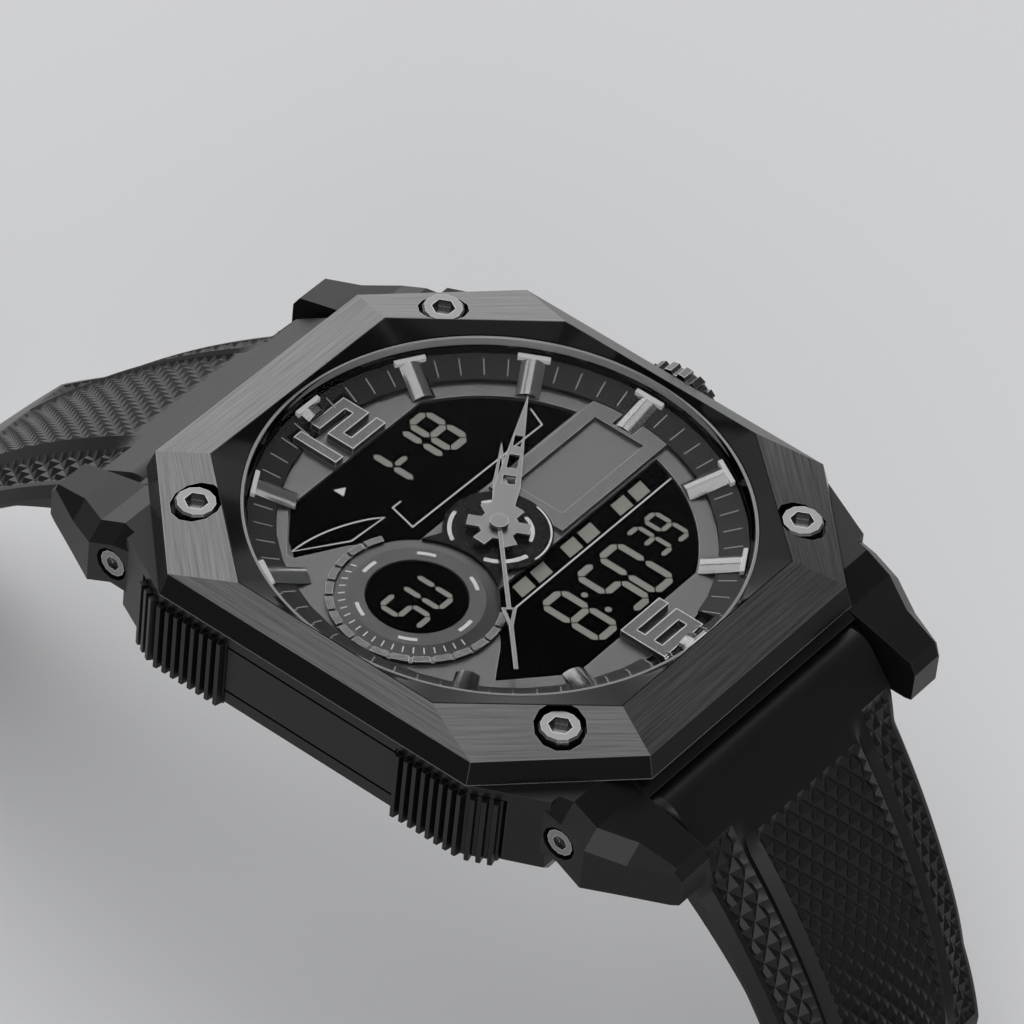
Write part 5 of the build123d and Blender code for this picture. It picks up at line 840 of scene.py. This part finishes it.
quarter = np.array([np.arctan2(y, x) for x, y in (RIDGE_SIDE, RIDGE_END)])
corner_turns = [quarter, np.pi - quarter, np.pi + quarter, 2 * np.pi - quarter]
even_turns = np.arange(ROUND_STEPS) * 2 * np.pi / ROUND_STEPS
turns = np.unique(np.round(np.concatenate([even_turns, *corner_turns]), 6))
ridge = ridge_radius(turns)
rim = np.full_like(ridge, GLASS_HOLE)
dish_r = np.stack([
    ridge, ridge - 0.1, (ridge - 0.1 + rim + 0.04) / 2, rim + 0.04, rim, rim, rim + 0.06, ridge - 0.02,
], 1)
dish_z = np.broadcast_to([13.49, 13.53, 13.33, 13.14, 13.1, 12.5, 12.5, 13.44], dish_r.shape)
dish = np.concatenate([dish_r[..., None] * unit(turns)[:, None], dish_z[..., None]], -1).reshape(-1, 3)
make_piece("bezel_dish", dish, grid_faces(*dish_r.shape, True, True), finish["gloss"], "case", "gunmetal", 25)

# %% [markdown]
# The pale ring has a fine groove in its upper face, and the small dial stands in a step with a sloping rim. The
# glass is a disc with a small bevel; only its rim is turned, and one flat face closes the top and one the bottom.

# %% The pale ring, the step of the small dial and the glass
SMALL_DIAL = (-9.9, 0.0)
ring_profile = [
    (19.63, 12.2), (19.89, 12.2), (19.89, 13.0), (19.85, 13.05), (19.80, 13.05), (19.77, 12.96), (19.74, 13.05),
    (19.68, 13.05), (19.63, 13.0),
]
pale_ring = make_piece("pale_ring", *lathe(ring_profile, ROUND_STEPS), finish["ring_pale"], "case", "pale_ring", 25)
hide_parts("crystal_gasket")
step_profile = [(3.95, 10.6), (6.35, 10.6), (6.35, 10.75), (5.25, 11.0), (4.02, 11.0), (3.95, 10.94)]
step = lathe(step_profile, 160, SMALL_DIAL)
turret_step = make_piece("small_dial_step", *step, finish["turret"], "case", "dial_satin", 12)
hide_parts("subdial_turret")

disc_profile = [(19.35, 12.2), (19.6, 12.2), (19.6, 13.05), (19.53, 13.22), (19.35, 13.3)]
disc_points, disc_faces = lathe(disc_profile, ROUND_STEPS, closed=False)
first_of_row = np.arange(ROUND_STEPS) * len(disc_profile)
caps = [first_of_row.tolist(), (first_of_row + len(disc_profile) - 1).tolist()]
glass_disc = make_piece("glass_disc", disc_points, disc_faces.tolist() + caps, finish["glass"], "case", "glass", 25)
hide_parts("crystal")

# %% [markdown]
# ## Hour markers
#
# Each marker is a bright bar with an arched top that rises outwards, and ends in a wider white head. The bar is a
# section of width and height carried along the radius; its height is a straight slope minus a share of the width
# squared, which is what gives the light streak along its middle.

# %% Bars and heads
BAR_ROWS, TOP_COLUMNS = 6, 13


def ring_height(r):
    """Height of the minute ring's slope: 10.95 at radius 17, and 0.311 up for each mm outwards."""
    return 10.95 + (r - 17.0) * 0.3111


def marker_bars(angles, near, far, half_w, crown):
    """Closed bars at clock angles, standing on the ring's slope, with
    top = 11.03 + 0.283 (r - 15.6) - crown (w / half_w)^2."""
    w = np.concatenate([np.linspace(-half_w, half_w, TOP_COLUMNS), [half_w, -half_w]])
    r = np.linspace(near, far, BAR_ROWS)
    top = 11.03 + (r[:, None] - 15.6) * 0.283 - crown * (w[None, :TOP_COLUMNS] / half_w) ** 2
    base = np.maximum(10.62, ring_height(r) + 0.04)[:, None] + np.zeros((1, 2))
    z = np.concatenate([np.maximum(top, base[:, :1] + 0.04), base], 1)
    a = np.radians(np.asarray(angles, float))[:, None, None]
    x = r[None, :, None] * np.sin(a) + w[None, None, :] * np.cos(a)
    y = r[None, :, None] * np.cos(a) - w[None, None, :] * np.sin(a)
    points = np.stack([x, y, np.broadcast_to(z, x.shape)], -1)
    columns = len(w)
    starts = np.arange(len(angles)) * BAR_ROWS * columns
    cells = grid_faces(BAR_ROWS, columns, False, True)
    faces = (starts[:, None, None] + cells[None]).reshape(-1, 4).tolist()
    outer_end = starts[:, None] + (BAR_ROWS - 1) * columns + np.arange(columns)
    faces += (starts[:, None] + np.arange(columns)[::-1]).tolist() + outer_end.tolist()
    return points.reshape(-1, 3), faces


HEAD_START, HEAD_END = 18.75, 19.1
hours, figure_hours = np.array([1, 2, 3, 4, 5, 7, 8, 10, 11]) * 30.0, np.array([0.0, 180.0])
bar_points, bar_faces = marker_bars(hours, 15.6, HEAD_START, 0.95, 0.40)
stub_points, stub_faces = marker_bars(figure_hours, 17.97, HEAD_START, 0.95, 0.30)
bar_faces += [[n + len(bar_points) for n in face] for face in stub_faces]
bar_points = np.concatenate([bar_points, stub_points])
markers = make_piece("marker_bars", bar_points, bar_faces, finish["steel"], "case", "polished_steel")
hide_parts("hour_markers")
heads = marker_bars(np.concatenate([hours, figure_hours]), HEAD_START, HEAD_END, 1.3, 0.0)
make_piece("marker_heads", *heads, finish["print"], "case", "pale_ring")

# %% [markdown]
# ## Marks on the minute ring
#
# Four thin pale lines stand between each pair of hours, printed on the ring's slope. Each is a small plate turned to
# its minute; its underside and its face follow the height of the slope, so it lies on it like paint.

# %% Minute marks
def turned_boxes(angles, near, far, half_w):
    """Rectangles from radius near to far, one for each clock angle in degrees, as (n, 4, 2)."""
    a = np.radians(np.asarray(angles, float))[:, None]
    r = np.array([near, far, far, near])[None, :]
    w = np.array([-half_w, -half_w, half_w, half_w])[None, :]
    return np.stack([r * np.sin(a) - w * np.cos(a), r * np.cos(a) + w * np.sin(a)], -1)


def ring_slope(x, y):
    """Height of the minute ring's slope over a place on the dial."""
    return ring_height(np.hypot(x, y))


def printed(name, outlines, height, look, slot, lifts=(0.0, 0.02)):
    """Flat marks of one finish that lie on the case or the dial, as thick as the difference of their lifts."""
    return make_piece(name, *plates(outlines, height, lifts), finish[look], "case", slot)


minutes = np.array([m for m in range(60) if m % 5])
minute_plates = turned_boxes(minutes * 6.0, 17.3, HEAD_START, 0.045)
printed("minute_marks", [minute_plates], ring_slope, "mark", "pale_ring", (-0.02, 0.035))

# %% [markdown]
# ## Figures in the liquid crystal windows
#
# A liquid crystal figure has seven segments. Each segment here is one six-cornered plate; a table says which of the
# seven a figure needs.

# %% Seven segments for any figure
LIT = {
    "0": "abcdef", "1": "bc", "3": "abgcd", "5": "afgcd", "8": "abcdefg", "9": "abcdfg",
    "U": "bcdef", "-": "g", "l": "ef",
}


def figure(text, x, y, width, height, thick):
    """Segments of one figure with its lower left corner at x, y. Ends are cut at 45 degrees, with a gap between."""
    w, h, t = width, height / 2, thick
    gap, cut = t * 0.12, t / 2
    bar_x = np.array([gap, cut + gap, w - cut - gap, w - gap, w - cut - gap, cut + gap])
    post_y = np.array([gap, cut + gap, h - cut - gap, h - gap, h - cut - gap, cut + gap])
    side = np.array([0, t / 2, t / 2, 0, -t / 2, -t / 2])
    bar, post = np.stack([bar_x, -side], -1), np.stack([side, post_y], -1)
    spots = {
        "a": bar + [0, 2 * h], "g": bar + [0, h], "d": bar + [0, 0],
        "f": post + [0, h], "e": post, "b": post + [w, h], "c": post + [w, 0],
    }
    return np.stack([spots[k] for k in LIT[text]]) + [x, y]


def shifted(shapes, dx, dy):
    """The same outlines moved over, because a window lies deeper than the dial's plan they were drawn on."""
    return [np.asarray(shape) + [dx, dy] for shape in shapes]


# %% Date, time and seconds, and the small dial's two
rows = (
    (7.95, 4.1, (("l", -0.45, 1.6, 0.62), ("-", -0.25, 1.5, 0.5), ("1", 1.55, 1.6, 0.62), ("8", 4.1, 1.95, 0.62))),
    (-13.3, 5.4, (("8", -4.55, 2.2, 0.62), ("5", -0.25, 1.9, 0.62), ("0", 2.5, 2.15, 0.62))),
    (-11.2, 3.3, (("3", 5.95, 1.3, 0.42), ("9", 8.1, 1.3, 0.42))),
)
figures = [figure(text, x, y, width, height, thick) for y, height, row in rows for text, x, width, thick in row]
round_dot = 0.28 * unit(np.arange(12) * np.pi / 6)
dots = np.stack([round_dot + [-1.45, y] for y in (-9.5, -11.8)])
corner = np.array([[0.0, -6.2], [1.62, -6.2], [2.0, -4.92], [0.38, -4.92]])
squares = np.stack([corner + [x - 0.2, 0] for x in (-4.7, -2.55, 1.2, 3.35, 7.5, 9.65)])
window_shift, window = (1.0, 0.69), flat(10.25)
printed("window_figures", shifted([*figures, dots, squares], *window_shift), window, "segment", "lcd_black")
small = [figure(text, x, -2.35, 1.65, 3.5, 0.46) for text, x in (("5", -12.95), ("U", -10.2))]
printed("small_dial_figures", shifted(small, 0.435, 0.30), flat(10.9), "segment", "lcd_black")

# %% [markdown]
# ## Printed lines on the windows
#
# Thin white lines frame parts of the windows: a leaf at the upper left, an open trapezoid under the date, and a line
# over the time. Each is a list of corners widened into a strip whose corners are mitred.

# %% White lines
leaf_top = np.stack([np.linspace(-13.0, -5.3, 12), 7.0 + 2.8 * np.cos(np.linspace(0, np.pi / 2, 12)) ** 0.8], -1)
leaf = np.concatenate([leaf_top, [[-9.0, 7.2]]])
lines = [
    stroke(leaf, 0.13, closed=True),
    stroke([(-3.0, 7.2), (-4.0, 7.2), (-4.6, 4.75), (11.2, 4.55), (12.0, 6.3)], 0.13),
    stroke([(-6.1, -6.5), (13.5, -6.5)], 0.13),
    np.array([[(-5.6, 10.75), (-4.7, 11.25), (-5.6, 11.75)]]),
]
printed("window_lines", shifted(lines, *window_shift), window, "print", "pale_ring")

# %% [markdown]
# ## Marks of the small dial and arcs of the middle plate
#
# The small dial's grey ring carries six white dashes, and its outer slope small ticks. The black plate in the middle
# gets bright arcs: short strips along circles.

# %% Dashes, ticks and arcs
RING_TOP = 11.0
dashes = [stroke(arc(4.7, a - 9, a + 9, 7, SMALL_DIAL), 0.3) for a in np.arange(90, 450, 60)]
printed("small_dial_dashes", dashes, flat(RING_TOP), "print", "pale_ring")
ticks = turned_boxes(np.arange(-6, -174, -8), 5.5, 6.0, 0.05) + SMALL_DIAL


def small_slope(x, y):
    """Height of the small dial's outer slope: 11.0 at radius 5.25 down to 10.75 at radius 6.35."""
    return RING_TOP - (np.hypot(x - SMALL_DIAL[0], y) - 5.25) * 0.2273


printed("small_dial_ticks", [ticks], small_slope, "print", "pale_ring", (-0.01, 0.02))
arcs = [
    stroke(arc(3.45, 200, 258, 12), 0.38), stroke(arc(2.65, 285, 345, 12), 0.30),
    stroke(arc(3.75, 100, 150, 10), 0.30), stroke(arc(3.2, 20, 62, 9), 0.25), stroke(arc(4.1, 262, 352, 18), 0.14),
]
printed("middle_plate_arcs", arcs, flat(10.95), "steel", "polished_steel", (0.0, 0.03))

# %% [markdown]
# ## Room, floor and lamps
#
# The watch stands on a plain pale floor, at the height of the lowest part of the strap. It is four metres to each
# side, so that its edge stays out of sight.

# %% Floor
floor_z = min(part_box(name)[0].z for name in ("keeper_loose", "strap_12", "strap_6"))
reach = 4.0
corners = [(x * reach, y * reach, floor_z) for x, y in ((-1, -1), (1, -1), (1, 1), (-1, 1))]
floor_mesh = bpy.data.meshes.new("floor")
floor_mesh.from_pydata(corners, [], [(0, 1, 2, 3)])
paper = {"Base Color": (0.80, 0.80, 0.81, 1), "Roughness": 0.9}
floor_mesh.materials.append(new_material("floor_paper", paper)[0])
floor = bpy.data.objects.new("floor", floor_mesh)
bpy.context.scene.collection.objects.link(floor)
print("floor at", round(floor_z / MM, 2), "mm")

# %% [markdown]
# Dark metal shows what surrounds it, so large lamps matter more than strong ones. The key lamp stands behind the
# watch at the right, a second one hangs above, and a weak one fills the front at the left. The camera sees a pale
# room, but reflections and shadows get a dark one, or the black faces would turn grey.

# %% World and lamps
world = bpy.data.worlds.new("studio")
bpy.context.scene.world = world
world.use_nodes = True
tree = world.node_tree
dark, pale = tree.nodes["Background"], tree.nodes.new("ShaderNodeBackground")
dark.inputs["Color"].default_value = (0.20, 0.205, 0.21, 1)
pale.inputs["Color"].default_value = (0.80, 0.81, 0.82, 1)
seen = tree.nodes.new("ShaderNodeLightPath").outputs["Is Camera Ray"]
chosen = mixed_shader(tree, seen, dark.outputs["Background"], pale.outputs["Background"])
tree.links.new(chosen, tree.nodes["World Output"].inputs["Surface"])


DIAL_Z = 10.0


def soft_lamp(name, place, size, watts):
    """Square lamp at a place in mm, turned so that its face looks at the dial."""
    lamp = bpy.data.lights.new(name, "AREA")
    lamp.shape, lamp.size, lamp.energy = "SQUARE", size, watts
    holder = bpy.data.objects.new(name, lamp)
    spot = Vector(place) * MM
    facing = (Vector((0, 0, DIAL_Z * MM)) - spot).to_track_quat("-Z", "Y")
    holder.matrix_world = Matrix.Translation(spot) @ facing.to_matrix().to_4x4()
    bpy.context.scene.collection.objects.link(holder)


soft_lamp("key_softbox", (430, 560, 380), 0.95, 4.2)
soft_lamp("top_softbox", (-120, 60, 800), 0.80, 2.2)
soft_lamp("front_fill", (-560, -480, 300), 0.45, 2.2)

bpy.context.scene.view_settings.view_transform = "Standard"

# %% [markdown]
# ## Last update
#
# The view layer is brought up to date once more.

# %% Update the view layer
bpy.context.view_layer.update()
